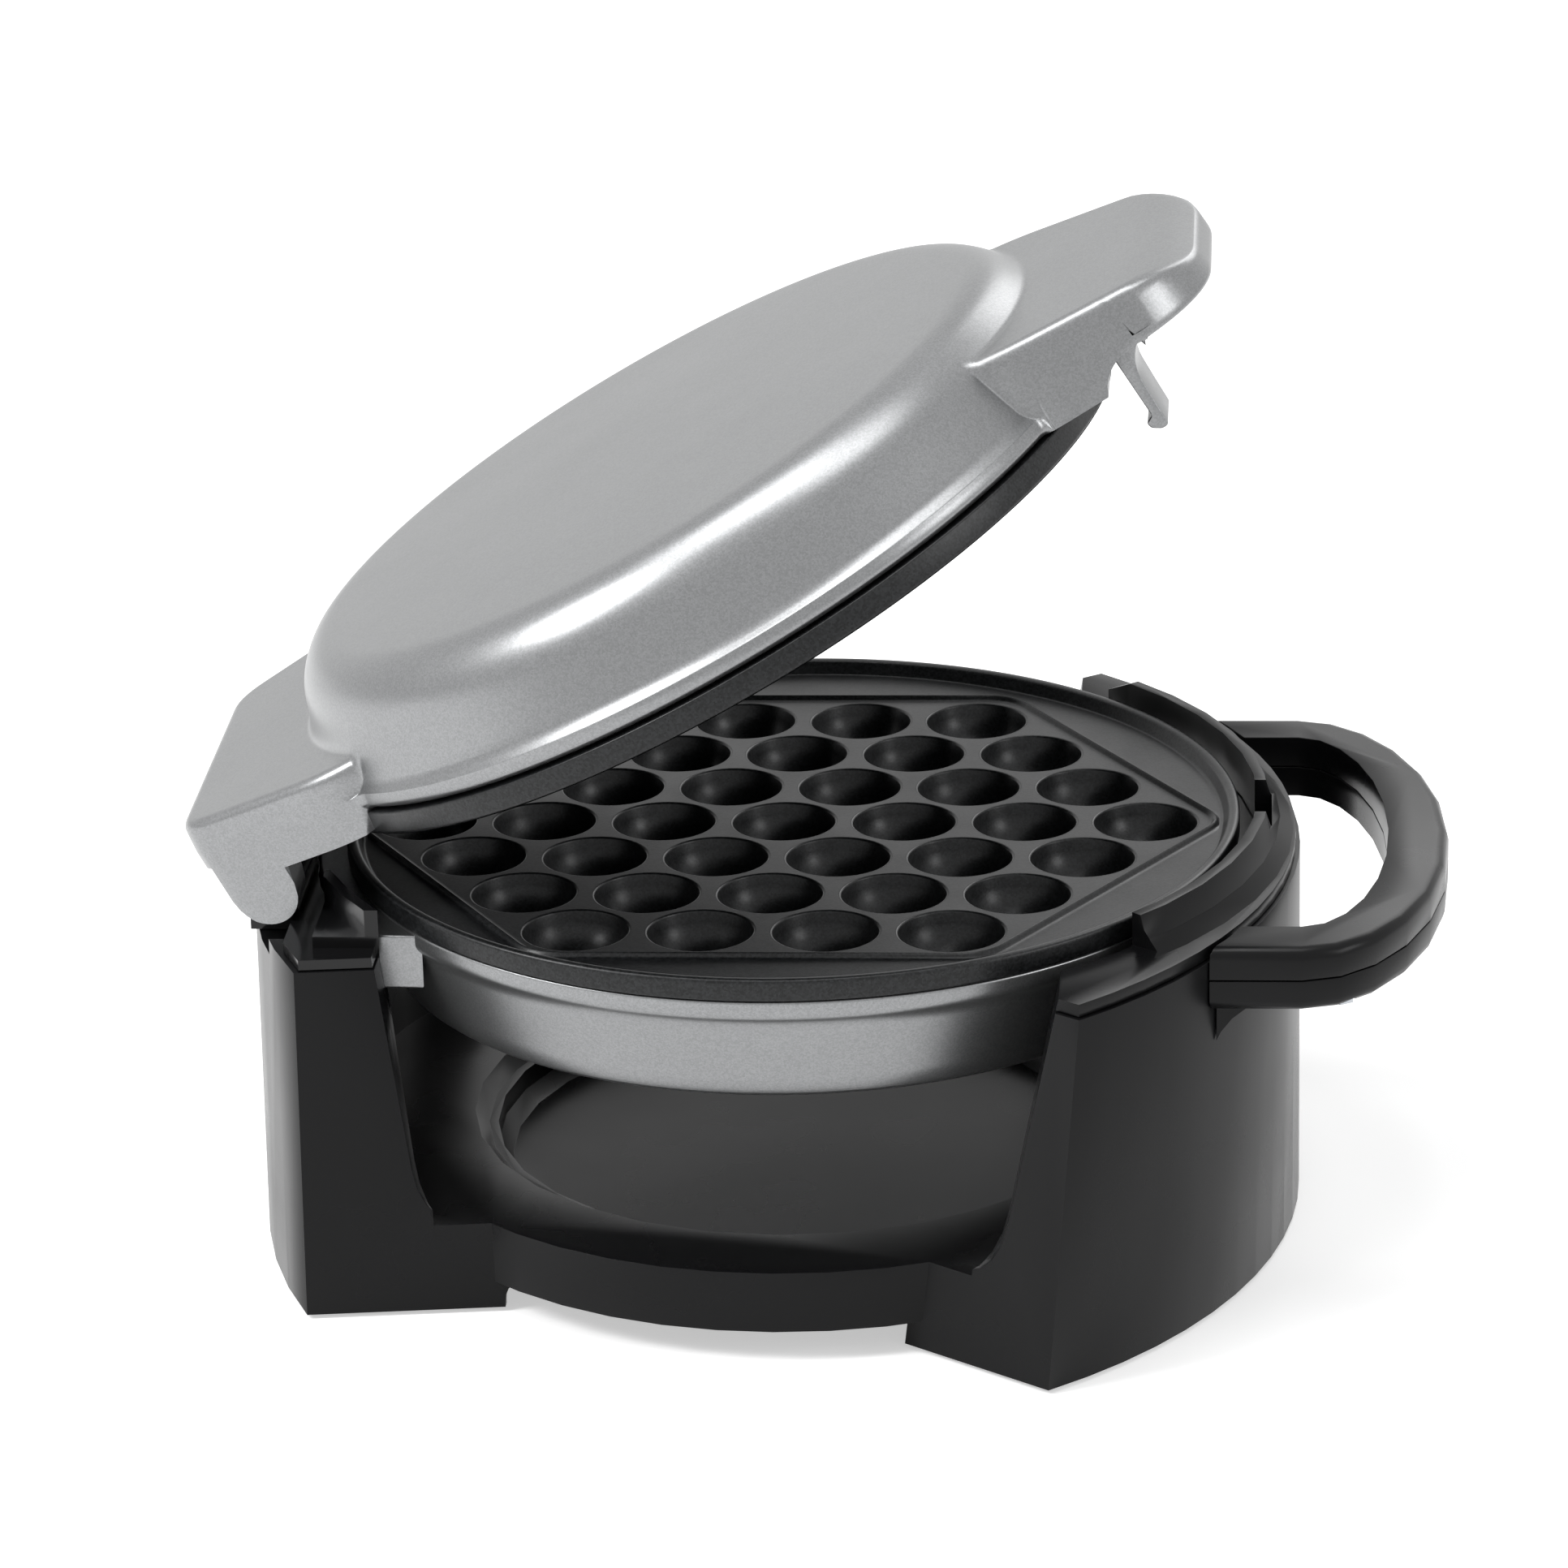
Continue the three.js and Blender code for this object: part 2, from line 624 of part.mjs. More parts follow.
// Bush that the supply lead leaves by, in the left upright's back corner
function cordGland() {
  const radius = (STAND.leftCornerY ** 2 + STAND.leftBulge ** 2) / (2 * STAND.leftBulge);
  const centreX = STAND.leftCornerX - STAND.leftBulge + radius;
  const nearest = GLAND.y - GLAND.flangeRadius;
  const faceX = centreX - Math.sqrt(radius ** 2 - nearest ** 2) - GAP;
  const profile = [
    [GLAND.boreRadius, 0],
    [GLAND.flangeRadius, 0],
    [GLAND.flangeRadius, GLAND.flangeThickness],
    [GLAND.neckRadius, GLAND.flangeThickness],
    [GLAND.neckRadius, GLAND.flangeThickness + 2.5 * SKIN],
    [GLAND.boreRadius, GLAND.flangeThickness + 2.5 * SKIN],
    [GLAND.boreRadius, 0],
  ].map(([radiusHere, height]) => new THREE.Vector2(radiusHere, height));
  const shape = new THREE.LatheGeometry(profile, SMALL_FACETS).rotateZ(-Math.PI / 2);
  return solid(shape.translate(faceX - GLAND.flangeThickness, GLAND.y, GLAND.z));
}

// Hinge tower on the left upright: plate, pedestal with barrel, low blocks and splash wall
function hingeTower() {
  const floor = STAND.leftTop + GAP;
  const recessFloor = STAND.leftTop - TOWER.recessDepth + GAP;
  const plan = leftOutline(STAND.leftDraft, -COVER.lip);
  const wallOuter = TOWER.wallInner + TOWER.wallThickness;
  const plate = lofted(plan, floor, plan, floor + TOWER.plateThickness)
    .subtract(cylinder(LUG.outerRadius + 2 * GAP, 0, FAR))
    .subtract(windowProfile(GAP))
    .subtract(box([-FAR, TOWER.recessRightX + GAP], [-FAR, FAR], [0, FAR]));
  const inner = HINGE.lobeInner - GAP;
  const pedestal = box([HINGE.x - TOWER.pedestalLeft, TOWER.recessRightX - GAP], [-inner, inner], [recessFloor, HINGE.z])
    .add(box([TOWER.recessRightX - 2 * GAP, -TOWER.wallInner], [-inner, inner], [floor, HINGE.z]))
    .add(crossCylinder(HINGE.barrelRadius, -inner, inner, HINGE.x, HINGE.z, HINGE_FACETS));
  const blocks = bothSides((side) => {
    const [a, b] = [TOWER.blockInner * side, TOWER.blockOuter * side];
    return box([TOWER.blockLeftX, 0], [Math.min(a, b), Math.max(a, b)], [floor, TOWER.blockTop]);
  }).subtract(cylinder(TOWER.wallInner, 0, FAR));
  const ring = revolved([
    [TOWER.wallInner, floor],
    [wallOuter, floor],
    [wallOuter, TOWER.wallTop],
    [TOWER.wallInner, TOWER.wallTop],
    [TOWER.wallInner, floor],
  ]);
  const wall = bothSides((side) => {
    const [a, b] = [TOWER.blockInner * side, TOWER.blockOuter * side];
    return ring.intersect(box([TOWER.blockLeftX, 0], [Math.min(a, b), Math.max(a, b)], [0, FAR]));
  });
  const pins = bothSides((side) => pinBody(side, GAP));
  return joined([plate, pedestal, blocks, wall]).subtract(pins);
}

function pinBody(side, grow = 0) {
  const outer = HINGE.lobeOuter + grow;
  const inner = HINGE.lobeOuter - HINGE.pinLength - grow;
  const [a, b] = [inner * side, outer * side];
  return crossCylinder(HINGE.pinRadius + grow, Math.min(a, b), Math.max(a, b), HINGE.x, HINGE.z, SMALL_FACETS);
}

// Lower bowl with the lug that seats in the left upright
function lowerBowl() {
  const { topZ, topRadius, lipHeight, lipStep, bottomRadius, bottomZ, floorRadius, floorZ, wall } = BOWL;
  const lipZ = topZ - lipHeight;
  const bend = (bottomZ - floorZ) / 2;
  const shell = revolved([
    [0, floorZ],
    [floorRadius, floorZ],
    [bottomRadius - bend, floorZ + bend / 2],
    [bottomRadius, bottomZ],
    [topRadius - lipStep, lipZ - lipStep],
    [topRadius, lipZ],
    [topRadius, topZ],
    [topRadius - wall, topZ],
    [topRadius - lipStep - wall, lipZ - lipStep],
    [bottomRadius - wall, bottomZ + wall / 2],
    [floorRadius, floorZ + wall],
    [0, floorZ + wall],
  ]);
  const sector = cylinder(LUG.outerRadius, LUG.top - LUG.height, LUG.top)
    .subtract(cylinder(topRadius - wall, 0, FAR))
    .intersect(box([-FAR, 0], [-LUG.halfWidth, LUG.halfWidth], [0, FAR]));
  const holes = platePostPlaces().map(([x, y]) =>
    cylinder(SCREW.shankRadius + GAP, 0, floorZ + wall + OVERRUN, x, y, SCREW_FACETS));
  return holes.reduce((body, hole) => body.subtract(hole), shell.add(sector));
}

function platePostPlaces() {
  return Array.from({ length: PLATE.postCount }, (_, i) => {
    const angle = (2 * Math.PI * (i + 0.5)) / PLATE.postCount;
    return [PLATE.postCircle * Math.cos(angle), PLATE.postCircle * Math.sin(angle)];
  });
}

function cellPlaces() {
  const middle = (CELL_ROWS.length - 1) / 2;
  return CELL_ROWS.flatMap((count, row) =>
    Array.from({ length: count }, (_, i) => [
      (i - (count - 1) / 2) * CELL.pitch - CELL.shift,
      (row - middle) * CELL.rowPitch,
    ]));
}

// Every cell as one cutter: a bowl below the face and a short straight neck above it
function cellCutters(faceZ, neck) {
  const profile = Array.from({ length: CELL.rings + 1 }, (_, i) => {
    const angle = (Math.PI / 2) * (i / CELL.rings);
    return new THREE.Vector2(CELL.radius * Math.sin(angle), -CELL.depth * Math.cos(angle));
  });
  profile.push(new THREE.Vector2(CELL.radius, neck), new THREE.Vector2(0, neck));
  const cutter = new THREE.LatheGeometry(profile, CELL_FACETS).rotateX(Math.PI / 2);
  return solid(mergeGeometries(cellPlaces().map(([x, y]) => cutter.clone().translate(x, y, faceZ))));
}

// The six-sided ridge round the cells, as an outline with rounded corners
function ridgeOutline(grow) {
  const middle = (CELL_ROWS.length - 1) / 2;
  const halfMiddle = ((CELL_ROWS[middle] - 1) / 2) * CELL.pitch;
  const halfEnd = ((CELL_ROWS[0] - 1) / 2) * CELL.pitch;
  const y = middle * CELL.rowPitch;
  const away = CELL.radius + RIDGE.margin + grow;
  const slant = Math.hypot(halfMiddle - halfEnd, y);
  const tipX = halfMiddle + (away * slant) / y;
  const endX = tipX - ((y + away) * (halfMiddle - halfEnd)) / y;
  const corners = [[tipX, 0], [endX, y + away], [-endX, y + away], [-tipX, 0], [-endX, -y - away], [endX, -y - away]];
  const radius = RIDGE.cornerRadius + grow;
  const shape = new THREE.Shape();
  corners.forEach((corner, i) => {
    const here = new THREE.Vector2(...corner);
    const before = new THREE.Vector2(...corners[(i + 5) % 6]);
    const after = new THREE.Vector2(...corners[(i + 1) % 6]);
    const start = here.clone().add(before.sub(here).setLength(radius / 2));
    const end = here.clone().add(after.sub(here).setLength(radius / 2));
    if (i === 0) shape.moveTo(start.x - CELL.shift, start.y);
    else shape.lineTo(start.x - CELL.shift, start.y);
    shape.quadraticCurveTo(here.x - CELL.shift, here.y, end.x - CELL.shift, end.y);
  });
  return new THREE.Shape(shape.getPoints(3));
}

function ridge(low, high, innerRadius) {
  return raised(ridgeOutline(RIDGE.width), low, high)
    .subtract(raised(ridgeOutline(0), low - OVERRUN, high + OVERRUN))
    .intersect(cylinder(innerRadius, low, high));
}

// A cast plate facing up, its cell plane at CELL_PLANE
function castPlate({ radius, shoulderRadius, bodyRadius, flangeHeight, rimHeight }) {
  const top = CELL_PLANE + rimHeight;
  const flangeLow = top - flangeHeight;
  const low = CELL_PLANE - PLATE.bodyDepth;
  const innerRim = radius - PLATE.rimWidth;
  const body = revolved([
    [0, low],
    [bodyRadius - PLATE.rimWidth, low],
    [bodyRadius, low + PLATE.rimWidth],
    [shoulderRadius, flangeLow],
    [radius, flangeLow],
    [radius, top],
    [innerRim, top],
    [innerRim - PLATE.rimSlope, CELL_PLANE],
    [0, CELL_PLANE],
  ]);
  const border = ridge(CELL_PLANE - OVERRUN, CELL_PLANE + RIDGE.height, innerRim);
  return body.add(border).subtract(cellCutters(CELL_PLANE, rimHeight));
}

function postsFrom(floorZ) {
  const top = CELL_PLANE - PLATE.bodyDepth + OVERRUN;
  return joined(platePostPlaces().map(([x, y]) => cylinder(PLATE.postRadius, floorZ, top, x, y, SMALL_FACETS)));
}

function lowerPlate() {
  const plate = castPlate({ ...PLATE, flangeHeight: PLATE.rimHeight + PLATE.underFlange - GAP });
  const floorZ = BOWL.floorZ + BOWL.wall + GAP;
  const bores = platePostPlaces().map(([x, y]) =>
    cylinder(SCREW.shankRadius + GAP, 0, BOWL.floorZ + SCREW.length + GAP, x, y, SCREW_FACETS));
  return bores.reduce((whole, bore) => whole.subtract(bore), plate.add(postsFrom(floorZ)));
}

// The tubular element: an open ring whose ends bend away from the plate
class ElementCurve extends THREE.Curve {
  getPoint(t, target = new THREE.Vector3()) {
    const sweep = THREE.MathUtils.degToRad(HEATER.sweepDeg);
    const angle = Math.PI + (t - 0.5) * sweep;
    const end = Math.max(0, Math.abs(2 * t - 1) - 0.9) * 10;
    const radius = HEATER.radius;
    return target.set(radius * Math.cos(angle), radius * Math.sin(angle), -HEATER.terminalDrop * end * end);
  }
}

function heater() {
  const section = new THREE.Shape();
  section.absarc(0, 0, HEATER.tubeRadius, 0, 2 * Math.PI);
  const z = CELL_PLANE - PLATE.bodyDepth - GAP - HEATER.tubeRadius;
  const tube = new THREE.ExtrudeGeometry(section, { steps: 24, curveSegments: 3, extrudePath: new ElementCurve() });
  return solid(tube.translate(0, 0, z));
}

// Heat shield below the element, with holes for the plate's posts
function reflector(radius) {
  const { z, thickness, holeRadius } = REFLECTOR;
  const disc = revolved([
    [holeRadius, z],
    [radius - thickness, z],
    [radius, z + 2 * thickness],
    [radius - 2 * thickness, z + thickness],
    [holeRadius, z + thickness],
    [holeRadius, z],
  ], INNER_FACETS);
  const holes = platePostPlaces().map(([x, y]) => cylinder(PLATE.postRadius + GAP, 0, FAR, x, y, SMALL_FACETS));
  return holes.reduce((body, hole) => body.subtract(hole), disc);
}

function thermostat() {
  const top = CELL_PLANE - PLATE.bodyDepth - GAP;
  const low = top - THERMOSTAT.height;
  const half = THERMOSTAT.bladeWidth / 2;
  const blade = (side) => {
    const x = side * (THERMOSTAT.radius - THERMOSTAT.bladeWidth);
    const reach = THERMOSTAT.bladeLength;
    return box([x - THERMOSTAT.bladeThickness / 2, x + THERMOSTAT.bladeThickness / 2], [-half, half], [low - reach, low + half]);
  };
  return cylinder(THERMOSTAT.radius, low, top, 0, 0, HINGE_FACETS).add(bothSides(blade));
}

// Heights in the closed lid: what is built facing up about the cell plane, turned over
function turnedOver(body, cellPlaneZ) {
  return solid(geometryOf(body).rotateX(Math.PI).translate(0, 0, cellPlaneZ + CELL_PLANE));
}

const UPPER_CELL_PLANE = LID_BASE + UPPER_PLATE.rimHeight;
const LID_CEILING = LID_BASE + LID.discRise - LID.wall;

function upperPlate() {
  const postEnd = CELL_PLANE + UPPER_CELL_PLANE - LID_CEILING + GAP;
  return turnedOver(castPlate(UPPER_PLATE).add(postsFrom(postEnd)), UPPER_CELL_PLANE);
}

// Rings on the lid's ceiling that the ends of the upper plate's posts stand in
function postSockets() {
  const low = LID_CEILING - UPPER_PLATE.socketDepth;
  const inner = PLATE.postRadius + GAP;
  return platePostPlaces().map(([x, y]) =>
    cylinder(inner + LID.wall, low, LID_CEILING + LID.wall / 2, x, -y, SMALL_FACETS)
      .subtract(cylinder(inner, 0, LID_CEILING, x, -y, SMALL_FACETS)));
}

// Outside of the lid's dome: lower edge, bead, slanted skirt, shoulder and crowned disc
function domeOutside() {
  const shoulderMiddle = (LID.shoulderRadius + LID.discRadius) / 2 + LID.crown;
  return revolved([
    [0, LID_BASE + LID.edgeRise],
    [LID.edgeRadius, LID_BASE + LID.edgeRise],
    [LID.beadRadius, LID_BASE + (LID.edgeRise + LID.beadRise) / 2],
    [LID.beadRadius, LID_BASE + LID.beadRise],
    [LID.skirtRadius, LID_BASE + LID.skirtRise],
    [LID.shoulderRadius, LID_BASE + LID.shoulderRise],
    [shoulderMiddle, LID_BASE + (LID.shoulderRise + LID.discRise) / 2 + LID.crown],
    [LID.discRadius, LID_BASE + LID.discRise],
    [LID.discRadius / 2, LID_BASE + LID.discRise + 0.75 * LID.crown],
    [0, LID_BASE + LID.discRise + LID.crown],
  ]);
}

// The room inside the dome, one wall in from its outside
function domeInside() {
  return revolved([
    [0, LID_BASE],
    [LID.edgeRadius - LID.wall, LID_BASE],
    [LID.skirtRadius - LID.wall, LID_BASE + LID.skirtRise],
    [LID.shoulderRadius - LID.wall, LID_BASE + LID.shoulderRise - LID.wall / 2],
    [LID.discRadius - LID.wall, LID_CEILING],
    [0, LID_CEILING],
  ], INNER_FACETS);
}

// Plan of the lid's hinge end, narrowing to a straight end with round corners
function wedgeOutline(inset) {
  const { rootX, shoulderX, shoulderHalf, endX, endHalf, cornerRadius } = WEDGE;
  const end = endX + inset;
  const half = endHalf - inset;
  const root = shoulderHalf - inset;
  const shape = new THREE.Shape();
  shape.moveTo(rootX, root);
  shape.lineTo(shoulderX, root);
  shape.lineTo(end + cornerRadius, half + cornerRadius / 3);
  shape.quadraticCurveTo(end, half, end, half - cornerRadius);
  shape.lineTo(end, cornerRadius - half);
  shape.quadraticCurveTo(end, -half, end + cornerRadius, -half - cornerRadius / 3);
  shape.lineTo(shoulderX, -root);
  shape.lineTo(rootX, -root);
  return shape;
}

function wedge(inset) {
  const low = LID_BASE + WEDGE.bottom - (inset ? OVERRUN : 0);
  const high = LID_BASE + WEDGE.top - inset;
  const body = raised(wedgeOutline(inset), low - WEDGE.edgeRadius, high, inset ? 0 : WEDGE.edgeRadius, 2)
    .intersect(box([-FAR, 0], [-FAR, FAR], [low, FAR]));
  const step = WEDGE.endBottom - WEDGE.bottom;
  const relief = polygon([
    [-FAR, 0],
    [HINGE.x - WEDGE.bottom, 0],
    [HINGE.x - WEDGE.bottom, LID_BASE + WEDGE.bottom],
    [HINGE.x - WEDGE.bottom - step, LID_BASE + WEDGE.endBottom],
    [-FAR, LID_BASE + WEDGE.endBottom],
  ]);
  return inset ? body : body.subtract(across(relief, -FAR, FAR));
}

// Plan of the lid's handle, its sides drawing in to a round nose
function handleOutline(inset) {
  const { rootX, shoulderX, shoulderHalf, noseX, noseHalf, tipX } = HANDLE;
  const tip = tipX - inset;
  const root = shoulderHalf - inset;
  const nose = noseHalf - inset;
  const lean = (shoulderHalf - noseHalf) / (noseX - shoulderX);
  const shape = new THREE.Shape();
  shape.moveTo(rootX, -root);
  shape.lineTo(shoulderX, -root);
  shape.lineTo(noseX, -nose);
  shape.bezierCurveTo(tip, lean * (tip - noseX) - nose, tip, -nose / 3, tip, 0);
  shape.bezierCurveTo(tip, nose / 3, tip, nose - lean * (tip - noseX), noseX, nose);
  shape.lineTo(shoulderX, root);
  shape.lineTo(rootX, root);
  return shape;
}

function lidHandle(inset) {
  const low = LID_BASE + HANDLE.bottom - (inset ? OVERRUN : 0);
  const high = LID_BASE + HANDLE.top - inset;
  return raised(handleOutline(inset), low, high, inset ? 0 : HANDLE.edgeRadius, 2);
}

function hingeLobe(side) {
  const [a, b] = [HINGE.lobeInner * side, HINGE.lobeOuter * side];
  const [y0, y1] = [Math.min(a, b), Math.max(a, b)];
  const top = LID_BASE + WEDGE.top - LID.wall / 2;
  return crossCylinder(HINGE.lobeRadius, y0, y1, HINGE.x, HINGE.z, HINGE_FACETS)
    .add(box([HINGE.x - HINGE.lobeRadius + LID.wall, HINGE.x + HINGE.lobeRadius], [y0, y1], [HINGE.z, top]));
}

function latchEars() {
  const wide = LATCH.halfWidth + GAP;
  const ear = (side) => {
    const [a, b] = [wide * side, (wide + LID.wall) * side];
    return box([LATCH.pivotX - 1.5 * LATCH.pivotRadius, LATCH.pivotX + 1.5 * LATCH.pivotRadius],
      [Math.min(a, b), Math.max(a, b)],
      [LATCH.pivotZ - LATCH.pivotRadius, LID_BASE + HANDLE.top - LID.wall / 2]);
  };
  return bothSides(ear);
}

function lidShell() {
  const outside = joined([domeOutside(), wedge(0), lidHandle(0)]);
  const inside = joined([domeInside(), wedge(LID.wall), lidHandle(LID.wall)]);
  const plateRoom = cylinder(LID.edgeRadius, 0, LID_BASE + LID.edgeRise - GAP);
  const added = joined([bothSides(hingeLobe), latchEars(), ...postSockets()]);
  const pins = bothSides((side) => pinBody(side, GAP));
  const latchPin = crossCylinder(LATCH.pinRadius + GAP, -FAR, FAR, LATCH.pivotX, LATCH.pivotZ, CELL_FACETS)
    .intersect(box([0, FAR], [-LATCH.halfWidth - LID.wall - 2 * GAP, LATCH.halfWidth + LID.wall + 2 * GAP], [0, FAR]));
  const bowlCap = cylinder(UPPER_PLATE.radius + GAP, 0, LID_BASE + UPPER_PLATE.flangeHeight + GAP);
  const cuts = [plateRoom, bowlCap, pins, latchPin];
  return cuts.reduce((body, cut) => body.subtract(cut), outside.subtract(inside).add(added));
}

// Underside of the lid's handle, set inside its walls, with the slot for the lever
function lidHandleCover() {
  const low = LID_BASE + HANDLE.bottom + HANDLE_COVER.inset;
  const plan = handleOutline(LID.wall + GAP);
  const slot = box([0, LATCH.pivotX + 2 * LATCH.pivotRadius], [-LATCH.halfWidth - LID.wall - 2 * GAP, LATCH.halfWidth + LID.wall + 2 * GAP], [0, FAR]);
  return raised(plan, low, low + HANDLE_COVER.thickness)
    .intersect(box([HANDLE_COVER.startX, FAR], [-FAR, FAR], [0, FAR]))
    .subtract(slot);
}

// Latch lever, standing free as it does when the lid is open
function latchLever() {
  const { pivotX, pivotZ, pivotRadius, tongueInnerX, tongueThickness, hookReach, hookHeight, hookZ, halfWidth } = LATCH;
  const outer = tongueInnerX + tongueThickness;
  const shape = polygon([
    [tongueInnerX, pivotZ - 2 * pivotRadius],
    [tongueInnerX, hookZ + hookHeight],
    [tongueInnerX - hookReach, hookZ + hookHeight],
    [tongueInnerX - hookReach, hookZ + hookHeight / 2],
    [tongueInnerX, hookZ],
    [outer, hookZ],
    [outer, LID_BASE + tongueThickness],
    [pivotX + pivotRadius, pivotZ - 2 * pivotRadius],
    [pivotX + pivotRadius, pivotZ],
    [pivotX, pivotZ + pivotRadius],
    [pivotX - pivotRadius, pivotZ],
  ]);
  const body = across(shape, -halfWidth, halfWidth)
    .add(crossCylinder(pivotRadius, -halfWidth, halfWidth, pivotX, pivotZ, CELL_FACETS))
    .subtract(crossCylinder(LATCH.pinRadius + GAP, -FAR, FAR, pivotX, pivotZ, CELL_FACETS));
  const turned = geometryOf(body).translate(-pivotX, 0, -pivotZ)
    .rotateY(-THREE.MathUtils.degToRad(LATCH.free))
    .translate(pivotX, 0, pivotZ);
  return solid(turned);
}

function latchPin() {
  const end = LATCH.halfWidth + LID.wall + GAP;
  return crossCylinder(LATCH.pinRadius, -end, end, LATCH.pivotX, LATCH.pivotZ, CELL_FACETS);
}

// Builds one named mesh from a solid and a finish
function piece(name, body, finish) {
  const mesh = new THREE.Mesh(geometryOf(body), new THREE.MeshStandardMaterial(materials[finish]));
  mesh.name = name;
  return mesh;
}

function screws(name, places, headZ) {
  return places.map(([x, y], i) => piece(`${name}_${i + 1}`, screw(x, y, headZ), "steel"));
}

function standPieces() {
  const feet = footPlaces().map((place, i) => piece(`rubber_foot_${i + 1}`, foot(place), "rubber"));
  return [
    piece("stand_shell", standShell(), "blackPlastic"),
    piece("guard_cover", guardCover(), "blackPlastic"),
    piece("loop_handle_upper", handleUpper(), "blackPlastic"),
    piece("loop_handle_lower", handleLower(), "blackPlastic"),
    ...screws("loop_handle_screw", loopScrewPlaces(), HANDLE_UNDERSIDE + SCREW.headHeight - GAP),
    piece("hinge_tower", hingeTower(), "glossBlack"),
    piece("wiring_cover", wiringCover(), "blackPlastic"),
    ...screws("wiring_cover_screw", wiringScrewPlaces(), WIRING_COVER.z - GAP),
    piece("cord_gland", cordGland(), "rubber"),
    piece("hinge_pin_front", pinBody(-1), "steel"),
    piece("hinge_pin_back", pinBody(1), "steel"),
    ...feet,
    piece("lower_bowl", lowerBowl(), "silver"),
    piece("lower_plate", lowerPlate(), "nonStick"),
    piece("lower_heater", heater(), "steel"),
    piece("lower_reflector", reflector(BOWL.bottomRadius - BOWL.wall - REFLECTOR.clearance), "aluminium"),
    ...screws("lower_plate_screw", platePostPlaces(), BOWL.floorZ - GAP),
    piece("thermostat", thermostat(), "steel"),
  ];
}

function lidPieces() {
  const lidReflector = LID.shoulderRadius - LID.wall - 2 * REFLECTOR.clearance;
  return [
    piece("lid_shell", lidShell(), "silver"),
    piece("lid_handle_cover", lidHandleCover(), "silver"),
    piece("upper_plate", upperPlate(), "nonStick"),
    piece("upper_heater", turnedOver(heater(), UPPER_CELL_PLANE), "steel"),
    piece("upper_reflector", turnedOver(reflector(lidReflector), UPPER_CELL_PLANE), "aluminium"),
    piece("latch_lever", latchLever(), "silver"),
    piece("latch_pin", latchPin(), "steel"),
  ];
}

// Assembly: the stand's pieces as they are, the lid's turned open about the hinge
const stand = new THREE.Group();
stand.add(...standPieces());

const lid = new THREE.Group();
lid.add(...lidPieces());
lid.position.set(-HINGE.x, 0, -HINGE.z);

const hinge = new THREE.Group();
hinge.position.set(HINGE.x, 0, HINGE.z);
hinge.rotation.y = -REST_OPENING;
hinge.add(lid);

// The origin is under the middle of the whole object, on the surface that it stands on
const waffleMaker = new THREE.Group();
waffleMaker.add(stand, hinge);
waffleMaker.updateMatrixWorld(true);
const extent = new THREE.Box3().setFromObject(waffleMaker, true);
const middle = extent.getCenter(new THREE.Vector3());
waffleMaker.position.set(-middle.x, -middle.y, -extent.min.z);
waffleMaker.updateMatrixWorld(true);

export default waffleMaker;
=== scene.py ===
"""Looks of a bubble waffle maker: a silver lid and bowl with dark cast plates on a black stand.

Every length is in millimetres about the bowl's vertical axis, with the ground at zero, and
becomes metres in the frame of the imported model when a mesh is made.
"""

import logging
import math
from dataclasses import dataclass
from enum import Enum

import bmesh
import bpy
import numpy as np
from mathutils import Matrix, Vector
from mathutils.geometry import delaunay_2d_cdt


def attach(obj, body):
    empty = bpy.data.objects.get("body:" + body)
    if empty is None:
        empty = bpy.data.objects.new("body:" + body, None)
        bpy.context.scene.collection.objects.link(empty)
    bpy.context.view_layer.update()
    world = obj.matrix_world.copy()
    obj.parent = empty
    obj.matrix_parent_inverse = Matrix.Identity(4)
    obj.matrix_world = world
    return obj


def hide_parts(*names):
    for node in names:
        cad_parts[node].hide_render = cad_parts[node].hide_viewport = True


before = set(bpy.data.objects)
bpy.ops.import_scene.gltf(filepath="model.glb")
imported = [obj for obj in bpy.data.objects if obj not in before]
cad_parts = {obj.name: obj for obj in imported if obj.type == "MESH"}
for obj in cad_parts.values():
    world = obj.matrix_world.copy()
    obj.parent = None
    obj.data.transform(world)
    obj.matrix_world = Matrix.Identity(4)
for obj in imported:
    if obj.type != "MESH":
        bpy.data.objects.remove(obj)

Tree = bpy.types.NodeTree
Socket = bpy.types.NodeSocket
Pair = tuple[float, float]
Row = tuple[float, ...]
# Corners of a line, each with the distance from it at which its curve starts
Corners = tuple[tuple[float, float, float], ...]

LOG = logging.getLogger("waffle_maker")
MM = 0.001
BOWL_AXIS_X = -7.1777
WHITE = "#FFFFFF"
# How much lighter the light patches of the mottle are, and how much finer the changes in gloss
MOTTLE_GAIN, GLOSS_FINER = 1.08, 3
# Values of a noise texture over which the roughness spreads
NOISE_LOW, NOISE_HIGH = 0.3, 0.7
# Points closer than this, in millimetres, are merged: in new pieces and in copies of solids
MERGE_NEW, MERGE_COPY = 0.002, 0.01
# Height in millimetres of a form where it isn't, so that others hide it
FAR_BELOW = -50.0


class Body(Enum):
    """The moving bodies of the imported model."""

    STAND = "stand"
    LID = "lid"
    LATCH = "latch"


def srgb(hex_code: str) -> tuple[float, float, float, float]:
    """Turns an sRGB hex colour into the linear colour that a shader takes.

    Args:
        hex_code: Six hex digits, with or without a leading hash.

    Returns:
        Linear red, green and blue, and an alpha of one.
    """
    digits = hex_code.lstrip("#")
    values = (int(digits[i:i + 2], 16) / 255 for i in (0, 2, 4))
    linear = [v / 12.92 if v <= 0.04045 else ((v + 0.055) / 1.055) ** 2.4 for v in values]
    return (linear[0], linear[1], linear[2], 1.0)


